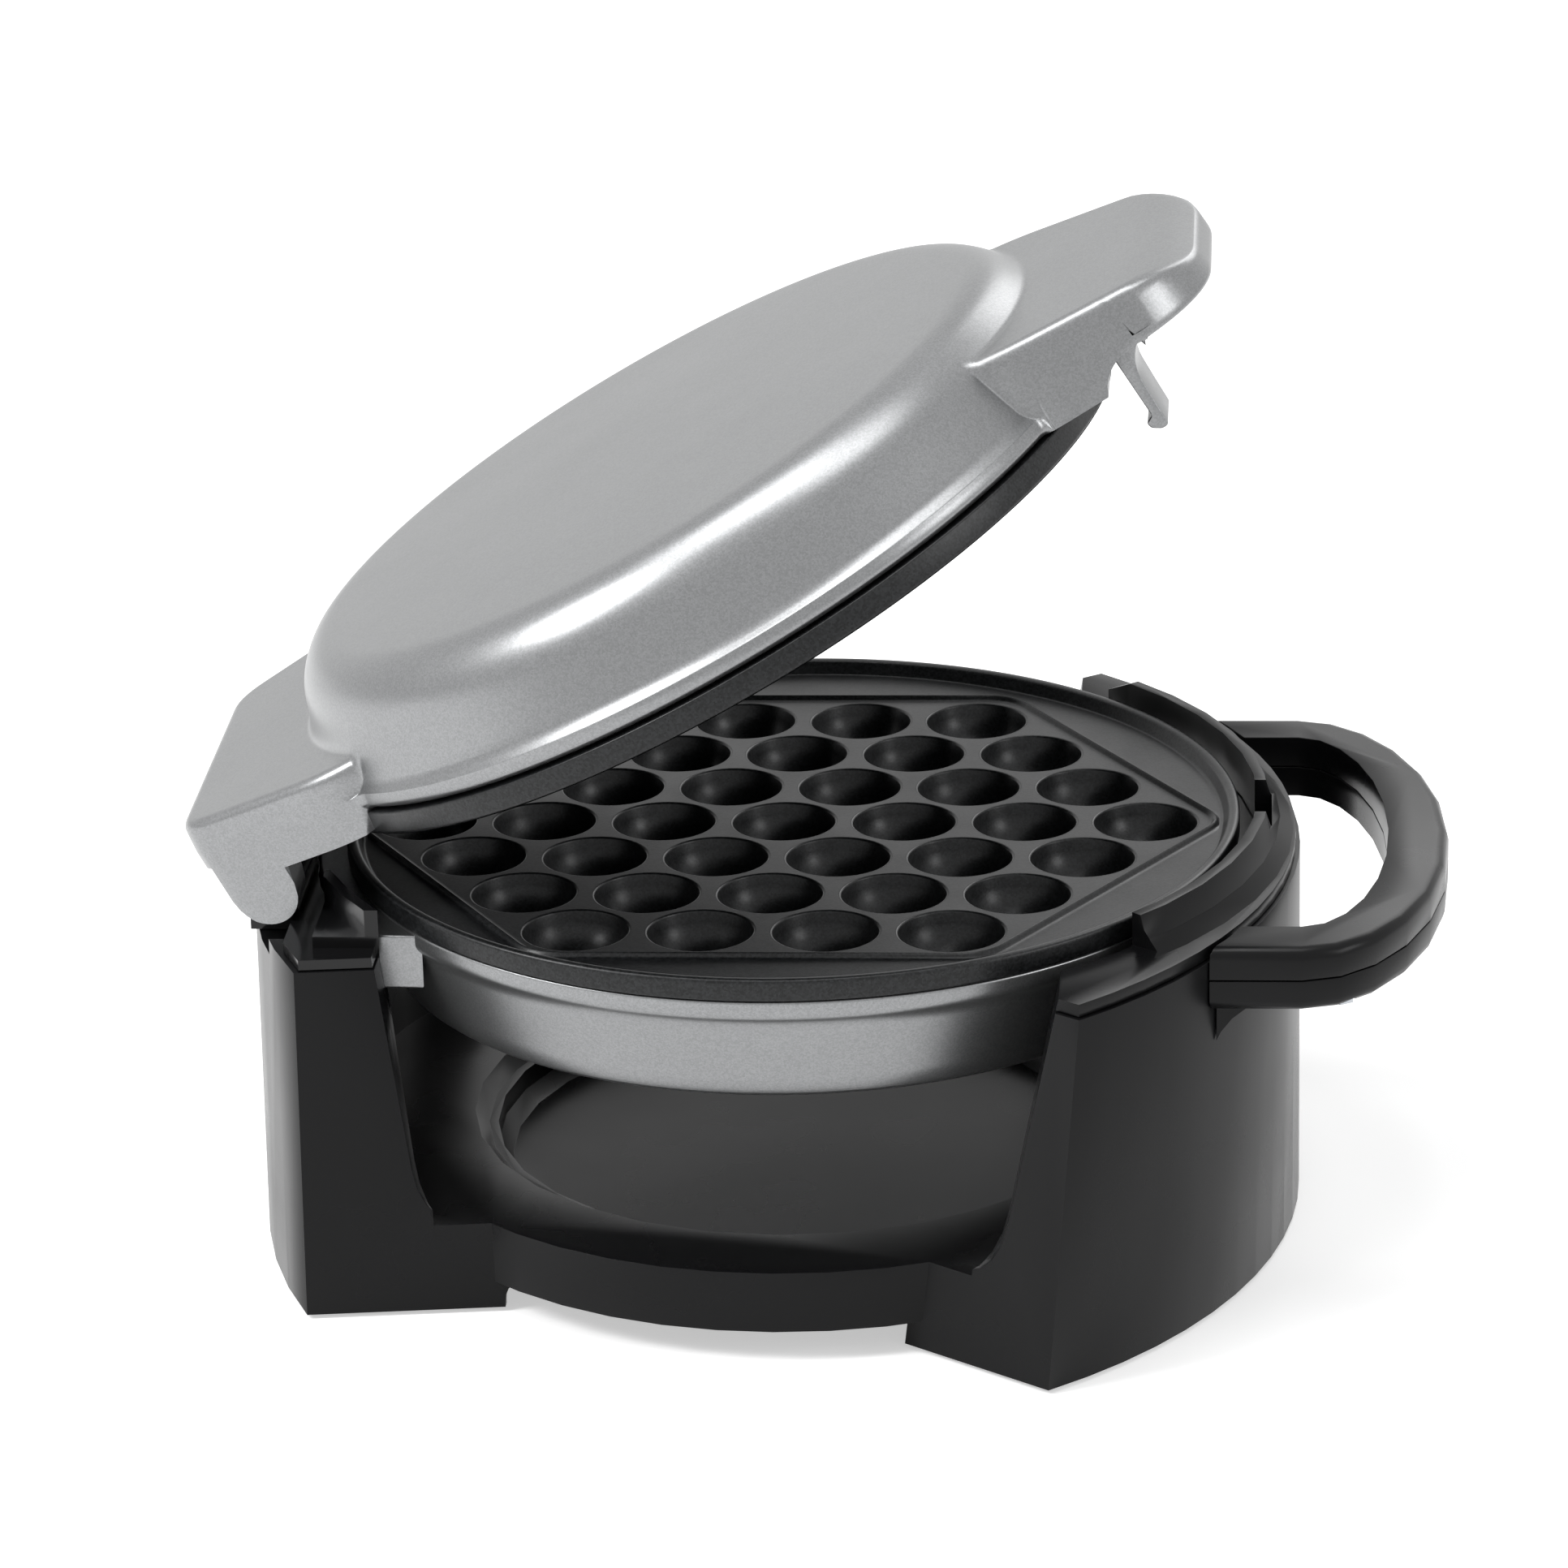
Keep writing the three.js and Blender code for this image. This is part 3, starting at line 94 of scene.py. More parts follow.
def add_node(
    tree: Tree, kind: str, settings: dict | None = None, **inputs: object,
) -> bpy.types.Node:
    """Adds one shader node with its settings, values and links.

    Args:
        tree: The node tree that takes the node.
        kind: The node's type name.
        settings: Attributes set on the node itself.
        inputs: Values or sockets by input name, with underscores for spaces.

    Returns:
        The new node.
    """
    node = tree.nodes.new(kind)
    for name, value in (settings or {}).items():
        setattr(node, name, value)
    for name, value in inputs.items():
        socket = node.inputs[int(name[1:])] if name[0] == "_" else node.inputs[name.replace("_", " ")]
        if isinstance(value, Socket):
            tree.links.new(value, socket)
        else:
            socket.default_value = value
    return node


@dataclass(frozen=True)
class Finish:
    """A surface: its colour, gloss and the fine texture that its making leaves.

    Attributes:
        name: Name of the material.
        colour: sRGB hex colour.
        slot: The record's material slot that it stands for. Not used.
        metallic: Share of metal in the surface.
        roughness: Middle roughness.
        roughness_spread: How far the roughness strays across the surface.
        specular: Specular level of the plastic or lacquer.
        grain: Size in millimetres of the surface's fine grain.
        grain_height: Height in millimetres of that grain.
        mottle: Size in millimetres of the slow changes in colour and gloss.
        flake: Share of the colour that the flakes change.
        flake_size: Size in millimetres of a flake, coarse enough to show.
    """

    name: str
    colour: str
    slot: str
    metallic: float = 0.0
    roughness: float = 0.4
    roughness_spread: float = 0.06
    specular: float = 0.5
    grain: float = 0.5
    grain_height: float = 0.01
    mottle: float = 18.0
    flake: float = 0.0
    flake_size: float = 0.6

    def material(self) -> bpy.types.Material:
        """Builds the material, or takes the one that is there already.

        Returns:
            The material.
        """
        known = bpy.data.materials.get(self.name)
        if known:
            return known
        made = bpy.data.materials.new(self.name)
        made.use_nodes = True
        tree = made.node_tree
        tree.nodes.clear()
        place = add_node(tree, "ShaderNodeTexCoord").outputs["Object"]
        shader = add_node(
            tree, "ShaderNodeBsdfPrincipled", Metallic=self.metallic, Specular_IOR_Level=self.specular,
        )
        tree.links.new(self.colour_socket(tree, place), shader.inputs["Base Color"])
        tree.links.new(self.roughness_socket(tree, place), shader.inputs["Roughness"])
        tree.links.new(self.normal_socket(tree, place), shader.inputs["Normal"])
        add_node(tree, "ShaderNodeOutputMaterial", Surface=shader.outputs["BSDF"])
        return made

    def colour_socket(self, tree: Tree, place: Socket) -> Socket:
        """Makes the colour: the base colour, a slow mottle and single flakes.

        Args:
            tree: The material's node tree.
            place: Object coordinates.

        Returns:
            The socket that carries the colour.
        """
        base = srgb(self.colour)
        mottle = add_node(tree, "ShaderNodeTexNoise", Vector=place, Scale=1 / (self.mottle * MM), Detail=2.0)
        lighter = tuple(min(1.0, MOTTLE_GAIN * c) for c in base[:3]) + (1.0,)
        mixed = add_node(
            tree, "ShaderNodeMix", {"data_type": "RGBA"}, _0=mottle.outputs["Fac"], _6=base, _7=lighter,
        ).outputs[2]
        if not self.flake:
            return mixed
        flakes = add_node(tree, "ShaderNodeTexVoronoi", Vector=place, Scale=1 / (self.flake_size * MM))
        gray = add_node(tree, "ShaderNodeSeparateColor", Color=flakes.outputs["Color"]).outputs[0]
        strength = add_node(
            tree, "ShaderNodeMapRange", Value=gray, From_Min=0.0, From_Max=1.0,
            To_Min=1.0 - self.flake, To_Max=1.0 + self.flake,
        ).outputs["Result"]
        scaled = add_node(tree, "ShaderNodeVectorMath", {"operation": "SCALE"}, _0=mixed, Scale=strength)
        return scaled.outputs["Vector"]

    def roughness_socket(self, tree: Tree, place: Socket) -> Socket:
        """Makes the roughness stray about its middle value.

        Args:
            tree: The material's node tree.
            place: Object coordinates.

        Returns:
            The socket that carries the roughness.
        """
        size = self.mottle * MM / GLOSS_FINER
        wander = add_node(tree, "ShaderNodeTexNoise", Vector=place, Scale=1 / size, Detail=3.0)
        return add_node(
            tree, "ShaderNodeMapRange", Value=wander.outputs["Fac"], From_Min=NOISE_LOW, From_Max=NOISE_HIGH,
            To_Min=self.roughness - self.roughness_spread, To_Max=self.roughness + self.roughness_spread,
        ).outputs["Result"]

    def normal_socket(self, tree: Tree, place: Socket) -> Socket:
        """Makes the fine relief of the surface.

        Args:
            tree: The material's node tree.
            place: Object coordinates.

        Returns:
            The socket that carries the normal.
        """
        grain = add_node(tree, "ShaderNodeTexNoise", Vector=place, Scale=1 / (self.grain * MM), Detail=2.0)
        height = grain.outputs["Fac"]
        bump = add_node(tree, "ShaderNodeBump", Height=height, Strength=1.0, Distance=self.grain_height * MM)
        return bump.outputs["Normal"]


# Aluminium flake lacquer sprayed on plastic: a satin silver with a fine sparkle
SILVER_LACQUER = Finish(
    "silver_flake_lacquer", "#868788", "silver_lacquer", metallic=0.85, roughness=0.31,
    roughness_spread=0.015, grain=0.3, grain_height=0.0035, mottle=60, flake=0.12, flake_size=0.3,
)
# Moulded polypropylene with a fine spark-eroded grain: black with a soft sheen
BLACK_PLASTIC = Finish(
    "moulded_black_plastic", "#0E0E0F", "black_plastic", roughness=0.28, roughness_spread=0.02, specular=0.15,
    grain=0.35, grain_height=0.002, mottle=80,
)
# Polished moulded plastic: deep black with sharp highlights
GLOSS_PLASTIC = Finish(
    "polished_black_plastic", "#0C0C0D", "gloss_black_plastic", roughness=0.16, roughness_spread=0.02,
    specular=0.3, grain=1.5, grain_height=0.002, mottle=60,
)
# Sprayed non-stick coating on die-cast aluminium: dark grey with bright specks
NON_STICK = Finish(
    "speckled_non_stick_coating", "#1A1B1C", "non_stick", metallic=0.2, roughness=0.34, roughness_spread=0.04,
    specular=0.35, grain=0.5, grain_height=0.012, flake=0.7, flake_size=0.45, mottle=40,
)
# Turned and zinc-plated steel of pins and screws
PLATED_STEEL = Finish(
    "zinc_plated_steel", "#A9ACB0", "steel", metallic=1.0, roughness=0.3, grain=0.3, grain_height=0.005,
)
# Bright aluminium sheet of the heat shields
BRIGHT_SHEET = Finish(
    "bright_aluminium_sheet", "#C9CBCD", "reflector_sheet", metallic=1.0, roughness=0.28, grain=0.6,
    grain_height=0.006,
)
# Soft moulded rubber: matt and almost black
SOFT_RUBBER = Finish(
    "soft_rubber", "#1B1B1B", "rubber", roughness=0.78, specular=0.3, grain=0.7, grain_height=0.03,
)


@dataclass(frozen=True)
class SoftBox:
    """One square lamp that faces the object: its name, place and side in metres, and power in watts."""

    name: str
    place: tuple[float, float, float]
    size: float
    power: float

    def build(self, target: Vector) -> None:
        """Hangs the lamp.

        Args:
            target: The point that it faces, in metres.
        """
        data = bpy.data.lights.new(self.name, "AREA")
        data.size = self.size
        data.energy = self.power
        lamp = bpy.data.objects.new(self.name, data)
        lamp.location = self.place
        lamp.rotation_euler = (target - Vector(self.place)).to_track_quat("-Z", "Y").to_euler()
        bpy.context.scene.collection.objects.link(lamp)


def seen_share(tree: Tree) -> Socket:
    """Tells rays that show a surface, directly, mirrored or through glass, from rays that light others.

    Args:
        tree: The node tree that takes the nodes.

    Returns:
        The socket that is one for such rays and zero for the others.
    """
    rays = add_node(tree, "ShaderNodeLightPath")
    share = rays.outputs["Is Camera Ray"]
    for kind in ("Is Glossy Ray", "Is Transmission Ray"):
        share = add_node(
            tree, "ShaderNodeMath", {"operation": "ADD", "use_clamp": True}, _0=share, _1=rays.outputs[kind],
        ).outputs[0]
    return share


@dataclass(frozen=True)
class Studio:
    """Plain soft studio: the camera of the photograph, a pale floor and soft lamps.

    Attributes:
        azimuth: Camera's direction from the front towards the right, in degrees.
        elevation: Camera's height above the horizon, in degrees.
        roll: Turn of the picture, in degrees.
        focal_pixels: Focal length in pixels of the photograph.
        offset: Place of the bowl's centre at cell height seen from the camera.
        cell_height: Height of that point above the ground.
        frame_pixels: Width of the photograph.
        sensor: Width of the camera's sensor.
        clip_end: How far the camera sees, in metres.
        floor_colour: sRGB hex colour of the floor.
        floor_half: Half the floor's width, in metres.
        floor_glow: Light that a seen floor adds to its own.
        world_light: Strength of the world's light on surfaces.
        target_height: Height of the point that the lamps face, in metres.
        lamps: The lamps.
    """

    azimuth: float = 4.6
    elevation: float = 20.9
    roll: float = -1.6
    focal_pixels: float = 7731.9
    offset: tuple[float, float, float] = (2.0, -8.1, 1366.0)
    cell_height: float = 86.0
    frame_pixels: int = 1932
    sensor: float = 36.0
    clip_end: float = 50.0
    floor_colour: str = "#E6E6E6"
    floor_half: float = 30.0
    floor_glow: float = 0.5
    world_light: float = 0.42
    target_height: float = 0.09
    lamps: tuple[SoftBox, ...] = (
        SoftBox("bevel_box", (-1.02, -0.40, 1.02), 0.5, 14.0),
        SoftBox("disc_box", (-0.45, -0.08, 1.42), 0.6, 7.0),
        SoftBox("top_box", (0.1, -0.1, 1.48), 0.6, 4.5),
        SoftBox("right_box", (1.3, -0.5, 0.7), 0.5, 4.0),
        SoftBox("back_box", (0.5, 1.2, 0.9), 0.7, 4.0),
    )

    def build(self) -> None:
        """Makes the camera, the floor, the world and the lamps."""
        self.camera()
        self.floor()
        self.world()
        for lamp in self.lamps:
            lamp.build(Vector((0, 0, self.target_height)))

    def axes(self) -> np.ndarray:
        """Works out how the camera is turned.

        Returns:
            The camera's right, up and forward directions as rows.
        """
        az, el, roll = (math.radians(angle) for angle in (self.azimuth, self.elevation, self.roll))
        forward = np.array([-math.sin(az) * math.cos(el), math.cos(az) * math.cos(el), -math.sin(el)])
        right = np.array([math.cos(az), math.sin(az), 0.0])
        up = np.cross(right, forward)
        turned_right = right * math.cos(roll) + up * math.sin(roll)
        turned_up = -right * math.sin(roll) + up * math.cos(roll)
        return np.array([turned_right, turned_up, forward])

    def camera(self) -> None:
        """Places the camera so that the bowl lies in the picture as photographed."""
        rows = self.axes()
        eye = -rows.T @ np.array(self.offset)
        place = np.array([eye[0] + BOWL_AXIS_X, eye[1], eye[2] + self.cell_height]) * MM
        lens = bpy.data.cameras.new("photo_camera")
        lens.lens = self.focal_pixels / self.frame_pixels * self.sensor
        lens.sensor_width = self.sensor
        lens.clip_end = self.clip_end
        seen = bpy.data.objects.new("photo_camera", lens)
        matrix = Matrix(np.array([rows[0], rows[1], -rows[2]]).T.tolist()).to_4x4()
        matrix.translation = Vector(place)
        seen.matrix_world = matrix
        bpy.context.scene.collection.objects.link(seen)
        bpy.context.scene.camera = seen

    def floor(self) -> None:
        """Makes a wide pale floor that keeps the object's shadow."""
        mesh = bpy.data.meshes.new("pale_floor")
        half = self.floor_half
        corners = [(-half, -half, 0), (half, -half, 0), (half, half, 0), (-half, half, 0)]
        mesh.from_pydata(corners, [], [(0, 1, 2, 3)])
        sheet = bpy.data.objects.new("pale_floor", mesh)
        bpy.context.scene.collection.objects.link(sheet)
        made = bpy.data.materials.new("pale_floor")
        made.use_nodes = True
        tree = made.node_tree
        tree.nodes.clear()
        matt = add_node(tree, "ShaderNodeBsdfDiffuse", Color=srgb(self.floor_colour)).outputs[0]
        glow = add_node(tree, "ShaderNodeEmission", Color=srgb(WHITE), Strength=self.floor_glow).outputs[0]
        both = add_node(tree, "ShaderNodeAddShader", _0=matt, _1=glow).outputs[0]
        mixed = add_node(tree, "ShaderNodeMixShader", _0=seen_share(tree), _1=matt, _2=both)
        add_node(tree, "ShaderNodeOutputMaterial", Surface=mixed.outputs[0])
        mesh.materials.append(made)

    def world(self) -> None:
        """Lights the scene softly from all round and shows a white background."""
        world = bpy.data.worlds.new("soft_world")
        bpy.context.scene.world = world
        world.use_nodes = True
        tree = world.node_tree
        tree.nodes.clear()
        light, white = (
            add_node(tree, "ShaderNodeBackground", Color=srgb(WHITE), Strength=strength).outputs[0]
            for strength in (self.world_light, 1.0)
        )
        mixed = add_node(tree, "ShaderNodeMixShader", _0=seen_share(tree), _1=light, _2=white)
        add_node(tree, "ShaderNodeOutputWorld", Surface=mixed.outputs[0])


@dataclass(frozen=True)
class Hinge:
    """The lid's hinge: its place, how far the lid stands open at rest, and its knuckles and pins.

    Attributes:
        x: The hinge line's place along X.
        z: The hinge line's height.
        opening: Degrees that the lid stands open at rest.
        knuckle_radius: Radius of the knuckles.
        knuckle_inner: Distance of the knuckles' inner faces from the middle.
        pin_radius: Radius of the pins.
        pin_inner: Distance of the pins' inner ends from the middle.
        pin_outer: Distance of their outer ends, inside the knuckles.
        pin_edge: Radius of the pins' rounded rims.
    """

    x: float = -110.0
    z: float = 88.0
    opening: float = 28.5
    knuckle_radius: float = 8.4
    knuckle_inner: float = 38.0
    pin_radius: float = 3.0
    pin_inner: float = 30.0
    pin_outer: float = 43.0
    pin_edge: float = 0.4

    def open(self, points: np.ndarray) -> np.ndarray:
        """Turns points of the closed lid open about the hinge, as at rest."""
        return turned(points, self.x, self.z, self.opening)

    def pins(self) -> None:
        """Turns the two hinge pins."""
        turn = np.linspace(0, 2 * np.pi, 48, endpoint=False)
        x, z = self.x + self.pin_radius * np.cos(turn), self.z + self.pin_radius * np.sin(turn)
        front, back = (-self.pin_outer, -self.pin_inner), (self.pin_inner, self.pin_outer)
        for node, ends in (("hinge_pin_front", front), ("hinge_pin_back", back)):
            points, faces = skinned(prism(np.stack([x, z], 1), *ends, self.pin_edge))
            make_piece(f"{node}_fine", points, faces, Body.STAND, PLATED_STEEL, node)


def turned(points: np.ndarray, x: float, z: float, degrees: float) -> np.ndarray:
    """Turns points about a line along Y: x' = x cos a - z sin a, z' = x sin a + z cos a.

    Args:
        points: Points in millimetres, the last axis holding x, y and z.
        x: The line's place along X.
        z: The line's height.
        degrees: The turn that lifts the +X side.

    Returns:
        The turned points.
    """
    angle = math.radians(degrees)
    away = points - np.array([x, 0.0, z])
    out = away.copy()
    out[..., 0] = away[..., 0] * math.cos(angle) - away[..., 2] * math.sin(angle)
    out[..., 2] = away[..., 0] * math.sin(angle) + away[..., 2] * math.cos(angle)
    return out + np.array([x, 0.0, z])


HINGE = Hinge()


def rounded(corners: Corners, steps: int = 6, closed: bool = False) -> np.ndarray:
    """Rounds the corners of a line: each becomes the curve (1-t)^2 A + 2t(1-t) P + t^2 B.

    Args:
        corners: The line's corners and how far from each its curve starts.
        steps: Points in each curve.
        closed: Whether the last corner joins the first.

    Returns:
        The points of the rounded line.
    """
    points, reach = np.array(corners, float)[:, :2], np.array(corners, float)[:, 2]
    before = np.roll(points, 1, axis=0) - points
    after = np.roll(points, -1, axis=0) - points
    if not closed:
        reach[0] = reach[-1] = 0.0
    before /= np.maximum(np.linalg.norm(before, axis=1, keepdims=True), 1e-9)
    after /= np.maximum(np.linalg.norm(after, axis=1, keepdims=True), 1e-9)
    t = np.linspace(0, 1, steps)[None, :, None]
    start = (points + before * reach[:, None])[:, None]
    end = (points + after * reach[:, None])[:, None]
    curve = (1 - t) ** 2 * start + 2 * t * (1 - t) * points[:, None] + t ** 2 * end
    flat = curve.reshape(-1, 2)
    kept = np.r_[True, np.linalg.norm(np.diff(flat, axis=0), axis=1) > 1e-6]
    return flat[kept]


def smooth_max(a: np.ndarray, b: np.ndarray, blend: float) -> np.ndarray:
    """The larger of two values with a fillet: max(a, b) + (blend - |a - b|)^2 / 4 blend within the blend.

    Args:
        a: First values.
        b: Second values.
        blend: Difference of the two at which the fillet starts.

    Returns:
        The blended values.
    """
    near = np.maximum(blend - np.abs(a - b), 0.0)
    return np.maximum(a, b) + near ** 2 / (4 * blend)


def inside_distance(x: np.ndarray, y: np.ndarray, outline: np.ndarray) -> np.ndarray:
    """Distance to an outline that is even about Y and rises along X, positive inside it.

    Args:
        x: Places along X.
        y: Places along Y.
        outline: Points of the outline's +Y half, from its root to its tip.

    Returns:
        The signed distances.
    """
    a = outline[:-1]
    along = outline[1:] - a
    px = x.ravel()[:, None] - a[None, :, 0]
    py = np.abs(y).ravel()[:, None] - a[None, :, 1]
    share = np.clip((px * along[:, 0] + py * along[:, 1]) / (along ** 2).sum(1), 0, 1)
    away = np.hypot(px - share * along[:, 0], py - share * along[:, 1]).min(1).reshape(x.shape)
    half = np.interp(x, outline[:, 0], outline[:, 1], right=-1.0)
    return np.where(np.abs(y) < half, away, -away)


def edge_height(inside: np.ndarray, top: float, edge: float, draft: float, foot: float) -> np.ndarray:
    """Height of a flat form near its outline: flat, a quarter circle, then a wall with a slight draft.

    Args:
        inside: Distance inside the outline.
        top: Height of the flat top.
        edge: Radius of the rounded edge.
        draft: How far the wall leans in.
        foot: Height of the wall on the outline.

    Returns:
        The heights, falling on outside the outline.
    """
    bend = np.clip(draft + edge - inside, 0, edge)
    arc = top - edge + np.sqrt(np.maximum(edge ** 2 - bend ** 2, 0))
    wall = top - edge - (draft - inside) * (top - edge - foot) / draft
    return np.where(inside > draft, arc, wall)


def ramp(value: np.ndarray, start: float, width: float) -> np.ndarray:
    """A rise from zero to one that begins at the start and takes the width."""
    return np.clip((value - start) / width, 0, 1)


def along_line(line: np.ndarray) -> np.ndarray:
    """Length of a line from its first point to each of its points."""
    return np.r_[0, np.cumsum(np.hypot(*np.diff(line, axis=0).T))]


def enter_piece(
    name: str, mesh: bpy.types.Mesh, body: Body, finish: Finish, node: str | None, sharp: float | None,
) -> bpy.types.Object:
    """Dresses a mesh and enters it in the frame.

    Args:
        name: Name of the piece.
        mesh: Its mesh, in metres.
        body: The body that it rides on.
        finish: Its surface.
        node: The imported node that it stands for, if any.
        sharp: Edges steeper than this many degrees are shaded sharp. None keeps all smooth.

    Returns:
        The piece.
    """
    mesh.materials.clear()
    mesh.materials.append(finish.material())
    mesh.polygons.foreach_set("use_smooth", np.ones(len(mesh.polygons), bool))
    if sharp is not None:
        mesh.set_sharp_from_angle(angle=math.radians(sharp))
    piece = bpy.data.objects.new(name, mesh)
    bpy.context.scene.collection.objects.link(piece)
    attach(piece, body.value)
    if node:
        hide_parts(node)
    return piece


def make_piece(
    name: str, points: np.ndarray, faces: list[np.ndarray], body: Body, finish: Finish,
    node: str | None = None, sharp: float = 40.0,
) -> None:
    """Makes one piece from points in millimetres about the bowl's axis.

    Args:
        name: Name of the piece.
        points: Its points, three columns.
        faces: Arrays of faces, one face in each row.
        body: The body that it rides on.
        finish: Its surface.
        node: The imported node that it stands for, if any.
        sharp: Edges steeper than this many degrees are shaded sharp.
    """
    world = (points + np.array([BOWL_AXIS_X, 0.0, 0.0])) * MM
    mesh = bpy.data.meshes.new(name)
    mesh.from_pydata(world.tolist(), [], [face for group in faces for face in group.tolist()])
    shape = bmesh.new()
    shape.from_mesh(mesh)
    bmesh.ops.remove_doubles(shape, verts=shape.verts, dist=MERGE_NEW * MM)
    bmesh.ops.dissolve_degenerate(shape, edges=shape.edges, dist=MERGE_NEW / 2 * MM)
    if shape.calc_volume(signed=True) < 0:
        bmesh.ops.reverse_faces(shape, faces=shape.faces)
    loose = sum(1 for edge in shape.edges if len(edge.link_faces) != 2)
    shape.to_mesh(mesh)
    shape.free()
    enter_piece(name, mesh, body, finish, node, sharp)
    LOG.info("%s: %d faces, %d open edges", name, len(mesh.polygons), loose)


def ring_faces(rows: int, columns: int) -> np.ndarray:
    """Quads between rings of points, each ring closed on itself.

    Args:
        rows: Number of rings.
        columns: Points in each ring.

    Returns:
        The quads as an array with four columns.
    """
    i, j = np.meshgrid(np.arange(rows - 1), np.arange(columns), indexing="ij")
    k = (j + 1) % columns
    quads = np.stack([i * columns + j, i * columns + k, (i + 1) * columns + k, (i + 1) * columns + j], -1)
    return quads.reshape(-1, 4)


def skinned(rings: np.ndarray) -> tuple[np.ndarray, list[np.ndarray]]:
    """Joins rings by quads and closes both ends with fans about their middles.

    Args:
        rings: Points as rings by columns by three.

    Returns:
        The points and the arrays of faces.
    """
    rows, columns = rings.shape[:2]
    middles = np.stack([rings[0].mean(0), rings[-1].mean(0)])
    points = np.concatenate([rings.reshape(-1, 3), middles])
    j = np.arange(columns)
    k = (j + 1) % columns
    start = np.stack([np.full(columns, rows * columns), k, j], 1)
    last = (rows - 1) * columns
    end = np.stack([np.full(columns, rows * columns + 1), last + j, last + k], 1)
    return points, [ring_faces(rows, columns), start, end]


def lathe(profile: np.ndarray, columns: int = 288) -> np.ndarray:
    """Turns a profile about the bowl's axis: (r, z) becomes (r cos a, r sin a, z).

    Args:
        profile: Radii and heights.
        columns: Points round the circle.

    Returns:
        The rings.
    """
    angle = np.linspace(0, 2 * np.pi, columns, endpoint=False)
    r, z = profile[:, 0, None], profile[:, 1, None]
    return np.stack([r * np.cos(angle), r * np.sin(angle), z + 0 * angle], -1)


def prism(outline: np.ndarray, y0: float, y1: float, edge: float) -> np.ndarray:
    """Carries a closed outline in X and Z across Y, its rims rounded by a quarter circle.

    Args:
        outline: Points of the outline in X and Z.
        y0: Where it starts.
        y1: Where it ends.
        edge: Radius of the rounded rims.

    Returns:
        The rings.
    """
    following = np.roll(outline, -1, axis=0)
    back, ahead = outline - np.roll(outline, 1, axis=0), following - outline
    back /= np.linalg.norm(back, axis=1, keepdims=True)
    ahead /= np.linalg.norm(ahead, axis=1, keepdims=True)
    along = back + ahead
    along /= np.linalg.norm(along, axis=1, keepdims=True)
    area = (outline[:, 0] * following[:, 1] - following[:, 0] * outline[:, 1]).sum()
    inward = np.stack([-along[:, 1], along[:, 0]], 1) * np.sign(area)
    turn = np.linspace(0, np.pi / 2, 5)
    inset = np.r_[edge * (1 - np.sin(turn)), edge * (1 - np.sin(turn[::-1]))]
    place = np.r_[y0 + edge * (1 - np.cos(turn)), y1 - edge * (1 - np.cos(turn[::-1]))]
    plan = outline[None] + inward[None] * inset[:, None, None]
    return np.stack([plan[..., 0], np.broadcast_to(place[:, None], plan.shape[:2]), plan[..., 1]], -1)


